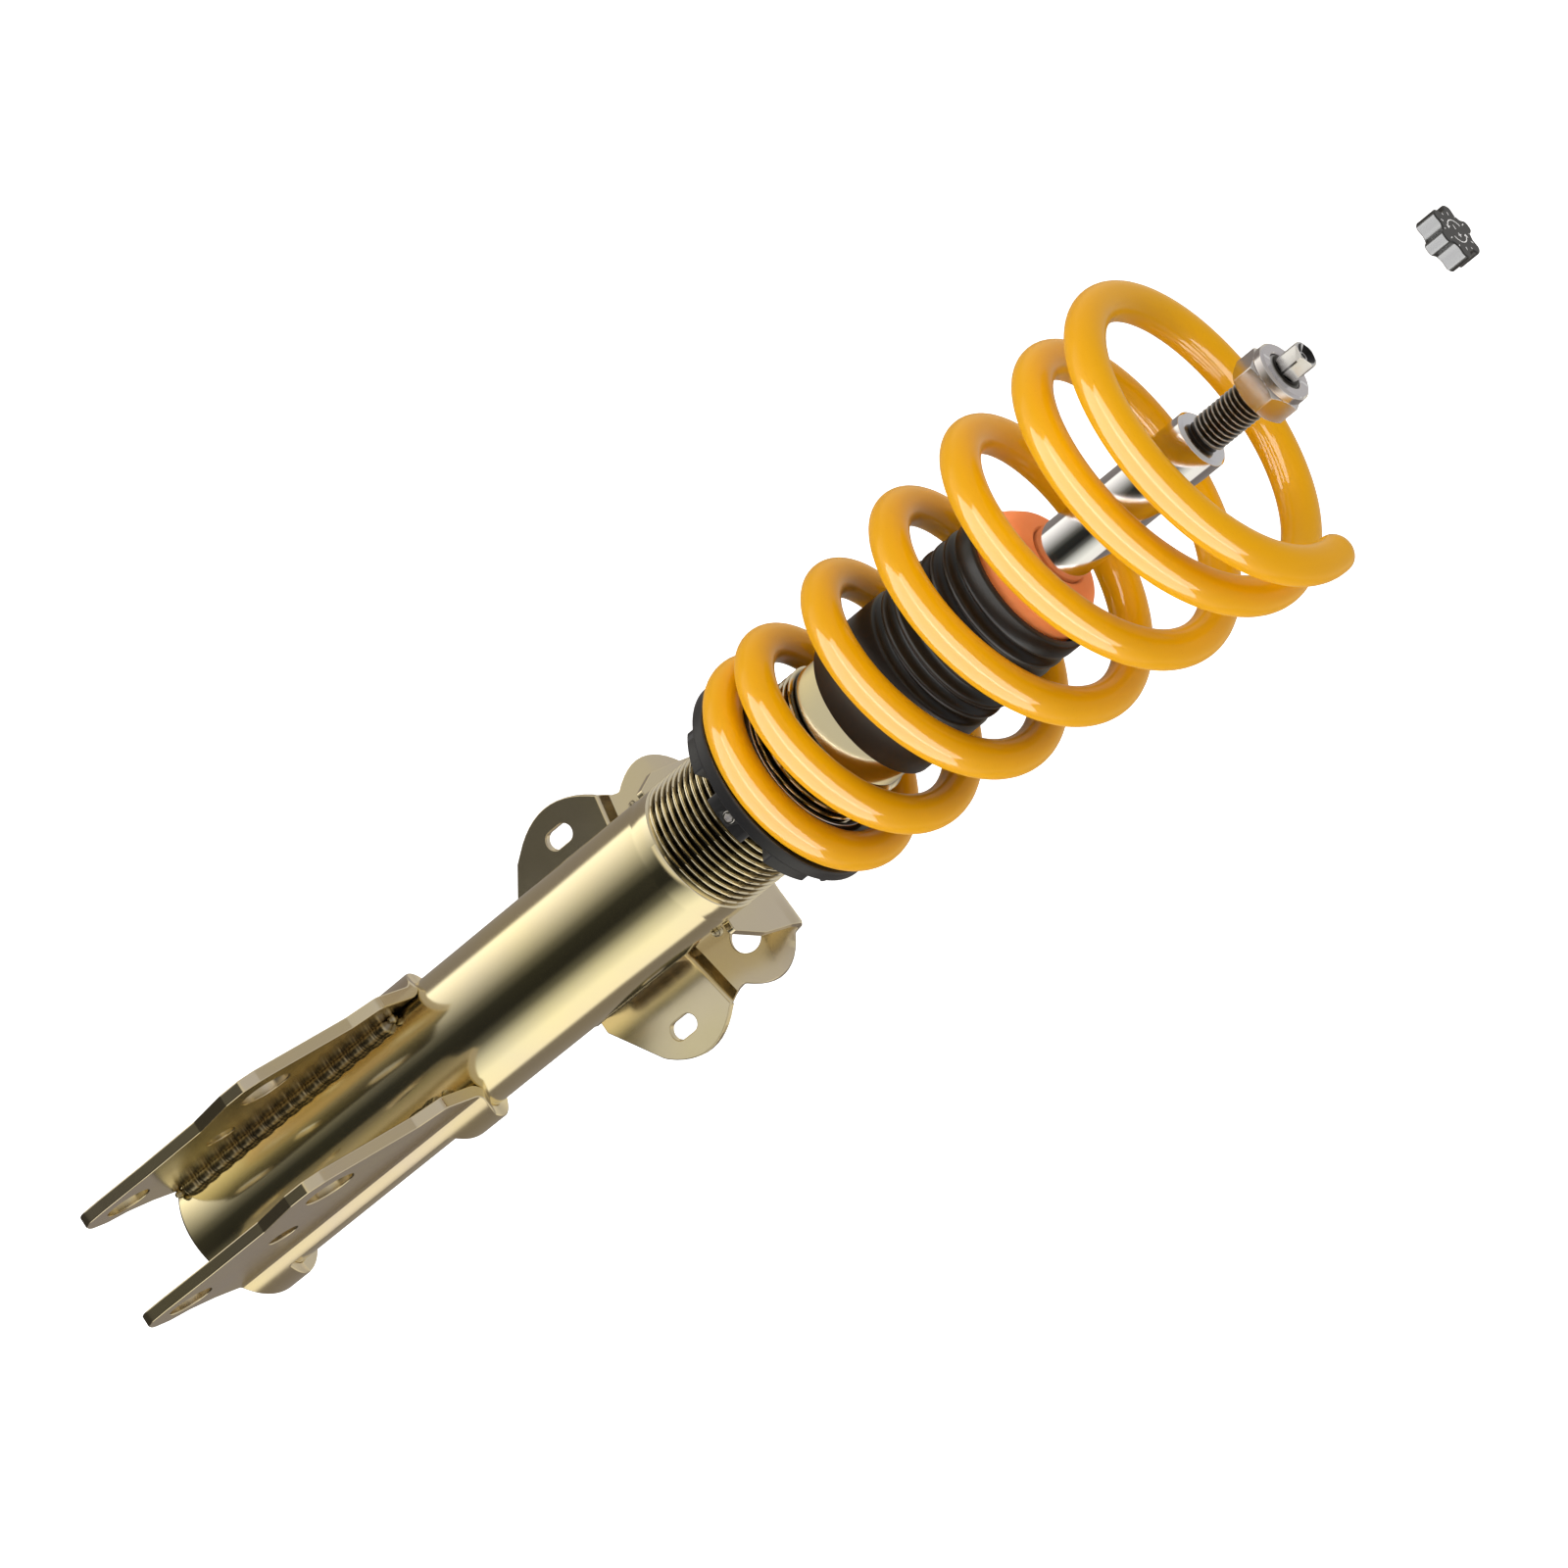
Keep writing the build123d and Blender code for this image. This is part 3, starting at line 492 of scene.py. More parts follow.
def black_anodised():
    n = Nodes("black_anodised")
    grain = n.noise(700.0, 3.0, 0.6)
    cloud = n.noise(30.0, 3.0, 0.5)
    tint = n.ramp(cloud, (0.3, srgb("0f0f11")), (0.7, srgb("171719")))
    tint = n.mix(n.math("MULTIPLY", n.convex_edges(), 0.5), tint, srgb("4c4c50"))
    rough = n.span(grain, 0.32, 0.44)
    relief = n.bump(grain, 0.00002, 0.3)
    return n.finish(Base_Color=tint, Roughness=rough, Specular_IOR_Level=0.5, Normal=relief)


def boot_rubber():
    n = Nodes("boot_rubber")
    grain = n.noise(850.0, 3.0, 0.6)
    cloud = n.noise(22.0, 4.0, 0.6)
    tint = n.ramp(cloud, (0.3, srgb("08090a")), (0.7, srgb("0e0f10")))
    tint = n.mix(n.math("MULTIPLY", n.convex_edges(), 0.5), tint, srgb("3a342e"))
    rough = n.span(cloud, 0.28, 0.40)
    relief = n.bump(grain, 0.00001, 0.25)
    return n.finish(Base_Color=tint, Roughness=rough, Specular_IOR_Level=0.35, Normal=relief)


def stop_foam():
    n = Nodes("stop_foam")
    cells = n.add("ShaderNodeTexVoronoi", {"Vector": n.place, "Scale": 900.0}).outputs["Distance"]
    cloud = n.noise(35.0, 4.0, 0.6)
    tint = n.ramp(cloud, (0.3, srgb("f28f4f")), (0.7, srgb("ff9c62")))
    return n.finish(
        Base_Color=tint,
        Roughness=n.span(cloud, 0.55, 0.70),
        Normal=n.bump(cells, 0.00006, 0.35),
        Subsurface_Weight=0.15,
        Subsurface_Radius=(0.004, 0.002, 0.001),
        Subsurface_Scale=1.0,
    )


def knob_plastic():
    n = Nodes("knob_plastic")
    grain = n.noise(1600.0, 3.0, 0.6)
    tint = n.ramp(n.noise(60.0, 3.0, 0.5), (0.3, srgb("0b0b0b")), (0.7, srgb("121212")))
    tint = n.mix(n.math("MULTIPLY", n.convex_edges(), 0.5), tint, srgb("3c3c3c"))
    return n.finish(Base_Color=tint, Roughness=n.span(grain, 0.20, 0.30), Normal=n.bump(grain, 0.00001, 0.25))


def dial_print():
    n = Nodes("dial_print")
    worn = n.noise(2500.0, 3.0, 0.6)
    tint = n.ramp(worn, (0.25, srgb("9c9c9c")), (0.5, srgb("e6e6e6")))
    return n.finish(Base_Color=tint, Roughness=n.span(worn, 0.45, 0.65))


TUBE_R = 26.5
THREAD_DEPTH = 1.9
STUD_R = 7.0
EVEN = (1.0, 1.0, 1.0)
# Radii over which the body thread's painted groove shade fades, from the groove's floor outwards.
THREAD_SHADE = (TUBE_R - 0.95 * THREAD_DEPTH, TUBE_R - 0.30 * THREAD_DEPTH)
GOLD = plated_steel("gold_plate", srgb("f6e9b6"), srgb("eee3bc"), srgb("f8eed0"), 0.13)
BRACKET = plated_steel("gold_plate_sheet", srgb("e6d8a8"), srgb("dccfb4"), srgb("f4e8c8"), 0.17, EVEN)
THREAD = plated_steel(
    "gold_plate_thread", srgb("f4e7bc"), srgb("eadfbe"), srgb("fff4d8"), 0.14, EVEN, THREAD_SHADE
)
BEAD = plated_steel("weld_plate", srgb("7c6e4a"), srgb("4a3f2a"), srgb("e4d8b4"), 0.30, EVEN)
CHROME = bare_metal("chrome_rod", srgb("e8e8ea"), srgb("dcdce0"), 0.09, (1.0, 1.0, 8.0), 60.0)
# The stud's thread grooves get painted shade.
STUD = bare_metal("stud_steel", srgb("86847f"), srgb("74726d"), 0.34, thread=(STUD_R - 1.0, STUD_R - 0.3))
# Dark steel used only where shade is painted: the floor of the set screw's hex socket and the hollow in the
# rod tip's top.
PAINTED_RECESS_SHADE = bare_metal("socket_painted_shade", srgb("3a3a3c"), srgb("2a2a2c"), 0.34)
NUT = bare_metal("zinc_nut", srgb("e2dfe0"), srgb("cfcbcd"), 0.18)
TIP = bare_metal("tip_steel", srgb("e2e2e2"), srgb("cfcfd0"), 0.26, (1.0, 1.0, 0.2), 260.0)
STEEL = bare_metal("bare_steel", srgb("a8a8aa"), srgb("8c8c90"), 0.30)
BRONZE = bare_metal("bronze", srgb("b48a4a"), srgb("8f6a34"), 0.35)
SPRING = spring_paint()
BLACK = black_anodised()
BOOT = boot_rubber()
FOAM = stop_foam()
KNOB = knob_plastic()
PRINT = dial_print()


# ------------------------------------------------------------------------------------ housing and body

TUBE_BOTTOM_Z = -91.3
THREAD_LOW_Z = 171.5
THREAD_HIGH_Z = 248.5
THREAD_PITCH = 3.0
NECK_R = 25.0
NECK_TOP_Z = 296.0


def thread_dip(angle, z, low, high, pitch, depth):
    """How far a right-handed thread's groove reaches in at an angle and height."""
    phase = (z / pitch - angle / TURN) % 1.0
    ridge = abs(phase - 0.5) * 2.0
    groove = min(1.0, max(0.0, (0.86 - ridge) / 0.46))
    groove = groove * groove * (3 - 2 * groove)
    fade = min(1.0, max(0.0, (z - low) / (0.5 * pitch))) * min(1.0, max(0.0, (high - z) / (0.4 * pitch)))
    return depth * groove * fade


bottom_round = rounded(((0.0, TUBE_BOTTOM_Z, 0), (TUBE_R, TUBE_BOTTOM_Z, 1.5), (TUBE_R, -60.0, 0)), steps=5)
body_profile = [
    *bottom_round,
    (TUBE_R, 40.0),
    (TUBE_R, 120.0),
    (TUBE_R, 163.0),
    (TUBE_R - 0.08, 163.5),
    (TUBE_R, 164.0),
    (TUBE_R, 168.0),
    *[(TUBE_R, z) for z in np.arange(THREAD_LOW_Z, THREAD_HIGH_Z - 1.4, 0.2)],
    (TUBE_R - 0.05, THREAD_HIGH_Z - 1.4),
    (NECK_R + 0.1, THREAD_HIGH_Z - 0.1),
    (NECK_R, THREAD_HIGH_Z),
    (NECK_R, NECK_TOP_Z - 0.8),
    (NECK_R - 0.8, NECK_TOP_Z),
    (22.5, NECK_TOP_Z),
    (22.5, NECK_TOP_Z - 20.0),
]


def body_swell(angle, radius, z):
    if THREAD_LOW_Z < z < THREAD_HIGH_Z - 1.3:
        return radius - thread_dip(angle, z, THREAD_LOW_Z, THREAD_HIGH_Z, THREAD_PITCH, THREAD_DEPTH)
    return radius


body_tube = lathe("body_tube", body_profile, GOLD, segments=160, closed=False, swell=body_swell, sharp=50.0)
body_tube.data.materials.append(THREAD)
for face in body_tube.data.polygons:
    if THREAD_LOW_Z * MM < face.center.z < THREAD_HIGH_Z * MM:
        face.material_index = 1
place_piece(body_tube, "housing", "strut_tube", slot="gold_plate")


# ------------------------------------------------------------------------------------- knuckle bracket

SHEET_T = 4.8
EAR_X = 21.45
WRAP_MID_R = TUBE_R + SHEET_T / 2
ROOT_BEND_R = 6.5
bend_y = AXIS_Y - math.sqrt((WRAP_MID_R + ROOT_BEND_R) ** 2 - (EAR_X + ROOT_BEND_R) ** 2)
wrap_end = math.atan2(EAR_X + ROOT_BEND_R, AXIS_Y - bend_y)
WRAP_U = WRAP_MID_R * (math.pi - wrap_end)
BEND_U = WRAP_U + ROOT_BEND_R * (math.pi / 2 - wrap_end)


def bracket_at(u, z):
    """The bracket's middle surface: u runs from the back, round the tube and out along an ear."""
    side = -1.0 if u < 0 else 1.0
    u = abs(u)
    if u < WRAP_U:
        turn = math.pi - u / WRAP_MID_R
        return (side * WRAP_MID_R * math.sin(turn), AXIS_Y - WRAP_MID_R * math.cos(turn), z)
    if u < BEND_U:
        turn = wrap_end + (u - WRAP_U) / ROOT_BEND_R
        x = EAR_X + ROOT_BEND_R * (1 - math.sin(turn))
        return (side * x, bend_y + ROOT_BEND_R * math.cos(turn), z)
    return (side * EAR_X, bend_y - (u - BEND_U), z)


def bracket_u(y):
    """The distance along the bracket to a point at y."""
    if y <= bend_y:
        return BEND_U + bend_y - y
    if y <= AXIS_Y - WRAP_MID_R * math.cos(wrap_end):
        return BEND_U - ROOT_BEND_R * math.asin((y - bend_y) / ROOT_BEND_R)
    return WRAP_MID_R * (math.pi - math.acos((AXIS_Y - y) / WRAP_MID_R))


ear_outline = [
    (60.0, -88.0, 0),
    (24.0, -88.0, 12.0),
    (11.0, -90.4, 10.0),
    (3.2, -95.0, 8.0),
    (-6.6, -95.8, 9.0),
    (-15.6, -90.2, 8.0),
    (-16.0, -78.4, 4.0),
    (-14.6, -54.0, 12.0),
    (-14.6, -24.0, 1.0),
    (-20.6, -3.6, 1.0),
    (-20.4, 6.0, 4.0),
    (-16.6, 12.0, 3.0),
    (14.0, 36.5, 1.5),
    (20.0, 48.0, 3.0),
    (44.0, 48.0, 3.0),
    (55.0, 40.5, 3.0),
    (60.0, 38.5, 0),
]
right_half = [(bracket_u(y), z) for y, z in subdivide(rounded(ear_outline), 1.5)]
SLOPE_Y = (60.0, AXIS_Y + WRAP_MID_R)
SLOPE_Z = (38.5, 25.9)
for y in np.arange(SLOPE_Y[0] + 1.0, SLOPE_Y[1], 1.0):
    right_half.append((bracket_u(y), float(np.interp(y, SLOPE_Y, SLOPE_Z))))
right_half.append((0.0, SLOPE_Z[1] - 0.1))
bracket_outline = right_half + [(-u, z) for u, z in reversed(right_half[:-1])]
WINDOW_U, WINDOW_BEND_U = bracket_u(48.0), bracket_u(67.0)
window_side = [(WINDOW_BEND_U, -77.0, 3.0), (WINDOW_U, -68.0, 1.5)]
window_side += [(WINDOW_U, 23.0, 1.5), (WINDOW_BEND_U, 23.0, 3.0)]
window_mirror = [(-u, z, radius) for u, z, radius in reversed(window_side)]
window = rounded([(0.0, -82.5, 0.0), *window_side, (0.0, 11.0, 0.0), *window_mirror], closed=True)
BOLT_HOLES = ((0.0, 0.0, 10.0), (0.0, -79.4, 8.8), (13.0, -38.0, 6.0))
ear_holes = []
for side in (-1, 1):
    for y, z, radius in BOLT_HOLES:
        ear_holes.append(arc((side * bracket_u(y), z), radius, 0, 354, 59))
knuckle = plate(
    "knuckle_bracket_sheet", bracket_outline, [window, *ear_holes], bracket_at, SHEET_T, 0.6, 2.4, BRACKET
)
place_piece(knuckle, "housing", "knuckle_bracket", slot="gold_plate")

WELD_X, WELD_Y = 17.3, 39.6


def weld_run(name, route, radius, seed, pitch=2.6, flat=1.0):
    """A weld bead along a route, scaled over like overlapping coins, thinner at both ends."""
    route = np.asarray(route, float)
    steps = np.concatenate([[0], np.cumsum(np.linalg.norm(np.diff(route, axis=0), axis=1))])
    rng = np.random.default_rng(seed)
    phase = rng.uniform(0, 1, 3)
    radii = []
    for s in steps:
        scale = abs((s / pitch + 0.15 * math.sin(s * 0.7 + phase[0] * 6)) % 1.0)
        swell = 1 + 0.07 * scale + 0.03 * math.sin(s * 0.31 + phase[1] * 6)
        ends = min(1.0, 0.35 + 0.65 * min(s, steps[-1] - s) / 3.0)
        radii.append(radius * swell * ends)
    return tube(name, route, radii, BEAD, segments=18, flat=flat, sharp=60.0)


beads = []
for side in (-1, 1):
    heights = np.arange(-86.0, 34.5, 0.45)
    wobble = 0.25 * np.sin(heights * 0.8 + side)
    route = [(side * (WELD_X + w * 0.5), WELD_Y + w, z) for z, w in zip(heights, wobble)]
    beads.append(weld_run("bead", route, 2.7, 20 + side, 1.7))
    for z, size in ((-87.0, 2.4), (35.6, 2.6)):
        blob = [(side * (WELD_X + 0.4), WELD_Y - 0.6 + t, z + 0.6 * t) for t in np.linspace(-1.6, 1.6, 9)]
        beads.append(weld_run("bead", blob, size, 30 + side, 1.7))
place_piece(join("knuckle_weld_beads", beads), "housing", "knuckle_welds", slot="weld_plate")


# ---------------------------------------------------------------------------------------- link bracket

LINK_T = 3.0
LINK_LOW, LINK_FOLD, LINK_TOP = (93.5, 121.0), (96.9, 123.6), (111.4, 157.5)
LINK_V0 = 55.0
SHELF_END_Y = 60.0
link_ends = (LINK_LOW[0], LINK_V0, 0), (SHELF_END_Y, LINK_TOP[1], 0)
link_corners = (link_ends[0], (*LINK_LOW, 1.0), (*LINK_FOLD, 1.6), (*LINK_TOP, 2.2), link_ends[1])
BEND_STEPS = 8
link_path = rounded(link_corners, steps=BEND_STEPS)
link_lengths = lengths_along(link_path)


def link_strip(v):
    """The (y, z) of the strip's middle at a distance v along it; v is the height on the lower plane."""
    d = v - LINK_V0
    i = int(min(max(np.searchsorted(link_lengths, d) - 1, 0), len(link_path) - 2))
    t = (d - link_lengths[i]) / (link_lengths[i + 1] - link_lengths[i])
    p, q = link_path[i], link_path[i + 1]
    return p[0] + (q[0] - p[0]) * t, p[1] + (q[1] - p[1]) * t


def fold_rise(x, v):
    """How far the fold between the wings has climbed at x; the climb dies away towards the shelf."""
    over = max(0.0, abs(x) - 20.0)
    return 0.2 * over * min(1.0, over / 4.0) * min(1.0, max(0.0, (168.0 - v) / 20.0))


def link_at(x, v):
    """The link bracket's middle surface at x and a distance v along the strip."""
    rise = fold_rise(x, v)
    y, z = link_strip(v - rise)
    return (x, y, z + rise)


def link_v(z):
    """The distance along the strip to a height on the sloping upper wings."""
    slope = math.dist(LINK_FOLD, LINK_TOP)
    start = link_lengths[-1] - (LINK_TOP[0] - SHELF_END_Y) - slope
    return LINK_V0 + start + float(np.interp(z, (LINK_FOLD[1], LINK_TOP[1]), (0.0, slope)))


def shelf_v(y):
    """The distance along the strip to a place on the shelf."""
    return LINK_V0 + link_lengths[-1] - (y - SHELF_END_Y)


def lobe(x0, v0, x1, v1, bulge, steps=12):
    """A bowed edge between two points; bulge is how far its middle stands out to the right of the chord."""
    t = np.linspace(0, 1, steps + 1)
    dx, dv = x1 - x0, v1 - v0
    length = math.hypot(dx, dv)
    bow = bulge * 4 * t * (1 - t)
    return [(x0 + dx * a + dv / length * b, v0 + dv * a - dx / length * b) for a, b in zip(t, bow)]


TOP_V = link_v(152.0)
link_outline = [
    (-33.6, 74.0),
    (-10.0, 74.4),
    (26.0, 75.0),
    (46.0, 89.2),
    *lobe(47.4, 90.6, 46.6, 124.6, 7.0),
    (45.2, 126.6),
    (42.4, 131.0),
    *lobe(41.8, 133.6, 36.8, TOP_V + 5.0, 8.0),
    (34.9, shelf_v(104.0)),
    (34.4, shelf_v(85.7)),
    (29.7, shelf_v(68.4)),
    (27.0, shelf_v(68.4)),
]
for angle in np.linspace(74, -74, 25):
    a = math.radians(angle)
    link_outline.append(((TUBE_R + 0.1) * math.sin(a), shelf_v(AXIS_Y + (TUBE_R + 0.1) * math.cos(a))))
link_outline += [
    (-27.0, shelf_v(67.8)),
    (-30.4, shelf_v(67.6)),
    (-35.9, shelf_v(80.3)),
    (-37.0, shelf_v(100.0)),
    *lobe(-37.2, TOP_V + 5.0, -41.4, 133.6, 8.2),
    (-42.2, 131.0),
    (-45.0, 126.0),
    *lobe(-46.4, 124.2, -46.0, 85.4, 7.2),
    (-43.6, 82.0),
]
smooth_outline = rounded([(x, v, 1.6) for x, v in link_outline], steps=4, closed=True)
SLOT_X, SLOT_Z, SLOT_LENGTH, SLOT_R = 41.6, 103.8, 12.5, 3.5
HOLE_X, HOLE_Z, HOLE_R = 28.4, 142.0, 5.65
slot_half = SLOT_LENGTH / 2 - SLOT_R
link_holes = []
for side in (-1, 1):
    slot_top = arc((side * SLOT_X, SLOT_Z + slot_half), SLOT_R, 0, 180, 12)
    slot_low = arc((side * SLOT_X, SLOT_Z - slot_half), SLOT_R, 180, 360, 12)
    link_holes.append(slot_top + slot_low)
    link_holes.append(arc((side * HOLE_X, link_v(HOLE_Z)), HOLE_R, 0, 350, 35))
bend_points = []
for bend in range(3):
    first = 1 + bend * (BEND_STEPS + 1)
    for row in range(first, first + BEND_STEPS + 1, 2):
        for x in np.arange(-50.0, 50.5, 1.0):
            v = level = LINK_V0 + link_lengths[row]
            for _ in range(4):
                v = level + fold_rise(x, v)
            bend_points.append((x, v))
wings = plate("link_wings", smooth_outline, link_holes, link_at, LINK_T, 0.4, 2.0, BRACKET, folds=bend_points)
legs = [wings]
leg_corners = ((77.5, 79.0, 3.0), (93.0, 77.5, 1.5), (93.0, 117.0, 1.5), (77.5, 115.0, 3.0))
leg_outline = rounded(leg_corners, closed=True)
for side in (-1, 1):

    def leg_at(y, z, side=side):
        return (side * 20.0, y, z)

    legs.append(plate("leg", leg_outline, [], leg_at, LINK_T, 0.6, 3.0, BRACKET))
link_piece = place_piece(join("link_bracket_sheet", legs), "housing", "link_bracket", slot="gold_plate")

link_beads = []
for side in (-1, 1):
    route = [(side * 22.2, 76.6 + 0.2 * math.sin(z), z) for z in np.arange(80.0, 114.0, 0.5)]
    link_beads.append(weld_run("bead", route, 2.2, 50 + side, 2.4))
    for start, end in ((90.0, 104.0), (118.0, 150.0)):
        spots = np.radians(np.arange(start, end, 0.9))
        route = [around(side * a, TUBE_R + 0.9, 155.4 + 0.2 * math.sin(a * 90)) for a in spots]
        link_beads.append(weld_run("bead", route, 1.7, 60 + side + int(start), 1.9))
place_piece(join("link_weld_beads", link_beads), "housing", "link_welds", slot="weld_plate")


# ------------------------------------------------------------------------------ adjuster ring and seat

RING_LOW_Z, RING_HIGH_Z = 205.9, 212.3
LUGS = 8
LUG_FACING = 8.7
NOTCH_HALF = 8.0
LUG_R, NOTCH_R = 37.7, 31.0
ring_outline = []
for lug in range(LUGS):
    middle = LUG_FACING + lug * 360 / LUGS
    reach = 180 / LUGS - NOTCH_HALF
    for radius, angle in (
        (NOTCH_R, middle - reach - 1.6),
        *[(LUG_R, middle - reach + reach * 2 * k / 8) for k in range(9)],
        (NOTCH_R, middle + reach + 1.6),
    ):
        a = math.radians(angle)
        ring_outline.append((radius * math.sin(a), AXIS_Y - radius * math.cos(a), 0.7))
ring_outline = rounded(ring_outline, steps=3, closed=True)


def flat_at(level):
    def place(x, y):
        return (x, y, level)

    return place


ring_piece = plate(
    "adjuster_ring_lugged",
    ring_outline,
    [arc((0, AXIS_Y), 26.8, 0, 357.5, 143)],
    flat_at((RING_LOW_Z + RING_HIGH_Z) / 2),
    RING_HIGH_Z - RING_LOW_Z,
    0.45,
    2.5,
    BLACK,
)
SCREW_Z = 209.4
facing = math.radians(LUG_FACING)
out = Vector((math.sin(facing), -math.cos(facing), 0.0))


def screw_bar(name, start, end, radius, segments=32, material=STEEL):
    """A bar along the set screw's axis, between two distances from the strut axis."""
    path = [tuple(Vector((0, AXIS_Y, SCREW_Z)) + out * d) for d in (start, end)]
    return tube(name, path, [radius, radius], material, segments=segments)


SCREW_R = 2.35
SOCKET_R = 1.4
SCREW_FACE_R = 36.9
ring_piece = cut(ring_piece, screw_bar("hole", 33.0, 40.0, SCREW_R + 0.1))
place_piece(ring_piece, "ring", "adjuster_ring", slot="black_anodised")
across = Vector((math.cos(facing), math.sin(facing), 0.0))


def screw_face(u, v):
    """The set screw's outer face, seen along its axis."""
    return tuple(Vector((0, AXIS_Y, SCREW_Z)) + out * SCREW_FACE_R + across * u + Vector((0, 0, v)))


hexagon = arc((0, 0), SOCKET_R, 0, 300, 5)
rim = plate("set_screw_hex", arc((0, 0), SCREW_R, 0, 352.5, 47), [hexagon], screw_face, 2.0, 0.35, 0.6, NUT)
# Painted shade: the core's end, seen down the hex socket, is dark steel standing in for the socket's shade.
core = screw_bar("core", 30.0, 36.0, SCREW_R - 0.05, 48, PAINTED_RECESS_SHADE)
place_piece(join("set_screw_hex", [rim, core]), "ring", "set_screw", slot="bare_steel")

seat_profile = rounded(
    (
        (26.9, 212.5, 0.3),
        (41.5, 212.5, 0.9),
        (41.5, 217.6, 0.9),
        (30.6, 217.6, 0.8),
        (29.9, 218.4, 0.3),
        (29.9, 226.4, 0.4),
        (28.5, 228.0, 0.5),
        (26.9, 228.0, 0.4),
    ),
    steps=4,
    closed=True,
)
seat_piece = lathe("spring_seat_flange", seat_profile, BLACK, segments=144)
place_piece(seat_piece, "seat", "spring_seat", slot="black_anodised")
rim_corners = ((29.95, 226.0, 0.2), (28.6, 227.9, 0.3), (28.2, 228.3, 0.2), (28.1, 227.4, 0.2))
rim_profile = rounded(rim_corners, closed=True)
place_piece(lathe("seat_hub_bright_edge", rim_profile, NUT, segments=144), "seat", slot="bare_steel")


# --------------------------------------------------------------------------------------------- spring

WIRE_R = 7.0
SPRING_TURNS = (
    (-99, 224.7, 37.6),
    (-9, 224.75, 38.1),
    (171, 233.6, 39.3),
    (371, 248.7, 40.6),
    (731, 287.5, 43.9),
    (1091, 325.2, 47.5),
    (1451, 363.7, 50.7),
    (1631, 383.6, 52.4),
    (1811, 400.8, 53.9),
    (1991, 417.2, 55.2),
    (2171, 425.2, 56.4),
    (2265, 430.9, 57.4),
)  # angle round the strut in degrees, height of the wire's centre, mean radius


def smooth_law(angle, column):
    """Height or radius at an angle, by a cubic that never dips between the stations."""
    last = len(SPRING_TURNS) - 1
    i = max(k for k in range(last) if SPRING_TURNS[k][0] <= angle)

    def grade(k):
        low, high = SPRING_TURNS[k], SPRING_TURNS[k + 1]
        return (high[column] - low[column]) / (high[0] - low[0])

    def slope(k):
        before, after = grade(max(k - 1, 0)), grade(min(k, last - 1))
        return 2 * before * after / (before + after)

    start, end = SPRING_TURNS[i], SPRING_TURNS[i + 1]
    span = end[0] - start[0]
    t = (angle - start[0]) / span
    ease = (t**3 - 2 * t**2 + t) * span * slope(i) + (t**3 - t**2) * span * slope(i + 1)
    blend = 3 * t**2 - 2 * t**3
    return start[column] * (1 - blend) + end[column] * blend + ease


angles = np.linspace(SPRING_TURNS[0][0], SPRING_TURNS[-1][0] - 0.01, 1100)
wire_path = [around(math.radians(a), smooth_law(a, 2), smooth_law(a, 1)) for a in angles]
steps = lengths_along(wire_path)
END_ROUND = 2.2
wire_radii = []
for s in steps:
    near_end = min(s, steps[-1] - s)
    inset = 0.0
    if near_end < END_ROUND:
        inset = END_ROUND - math.sqrt(max(0.0, END_ROUND**2 - (END_ROUND - near_end) ** 2))
    wire_radii.append(WIRE_R - 0.02 - inset)
spring_piece = tube("coil_spring_wire", wire_path, wire_radii, SPRING, segments=36, sharp=60.0)
place_piece(spring_piece, "seat", "coil_spring", slot="spring_paint")
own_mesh(spring_piece)


# --------------------------------------------------------------------------------- boot and bump stop

BOOT_LOW_Z, BOOT_HIGH_Z = 260.3, 338.7
BOOT_R = 28.4
BOOT_WALL = 1.5
FOLDS_LOW_Z = 290.0
FOLD_PITCH = 6.1
FOLD_STATIONS = (0.04, 0.12, 0.3, 0.46, 0.54, 0.62, 0.7, 0.78, 0.97)  # shares of a fold's pitch
FOLD_DIPS = (0.25, 1.0, 2.1, 2.6, 2.55, 1.2, 0.35, 0.05, 0.0)  # how far in the bellows is at each
boot_outer = [(BOOT_R - 0.5, BOOT_LOW_Z), (BOOT_R, BOOT_LOW_Z + 0.5), (BOOT_R, FOLDS_LOW_Z - 0.5)]
z = FOLDS_LOW_Z
while z < BOOT_HIGH_Z - FOLD_PITCH:
    for t, dip in zip(FOLD_STATIONS, FOLD_DIPS):
        boot_outer.append((BOOT_R - dip, z + FOLD_PITCH * t))
    z += FOLD_PITCH
boot_outer += [(BOOT_R, BOOT_HIGH_Z - 0.9), (BOOT_R - 0.3, BOOT_HIGH_Z - 0.3), (BOOT_R - 0.8, BOOT_HIGH_Z)]
boot_profile = boot_outer + [(r - BOOT_WALL, z) for r, z in reversed(boot_outer)]
boot_piece = lathe("dust_boot_bellows", boot_profile, BOOT, segments=128, sharp=60.0)
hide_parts("dust_boot")
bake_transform(boot_piece)

stop_profile = rounded(
    (
        (11.15, 303.4, 0.3),
        (18.0, 303.4, 2.0),
        (21.0, 311.0, 3.0),
        (16.5, 315.5, 2.0),
        (22.6, 320.0, 3.0),
        (22.6, 328.0, 3.0),
        (18.5, 330.5, 1.5),
        (24.0, 333.0, 2.0),
        (24.3, 337.0, 2.5),
        (24.0, 343.6, 6.0),
        (18.6, 350.9, 8.0),
        (12.0, 352.0, 0.6),
        (11.15, 351.4, 0.2),
    ),
    steps=6,
    closed=True,
)
stop_piece = lathe("bump_stop_foam", stop_profile, FOAM, segments=128, sharp=60.0)
place_piece(stop_piece, "stop", "bump_stop", slot="stop_foam")


# ------------------------------------------------------------------------------------------------ rod

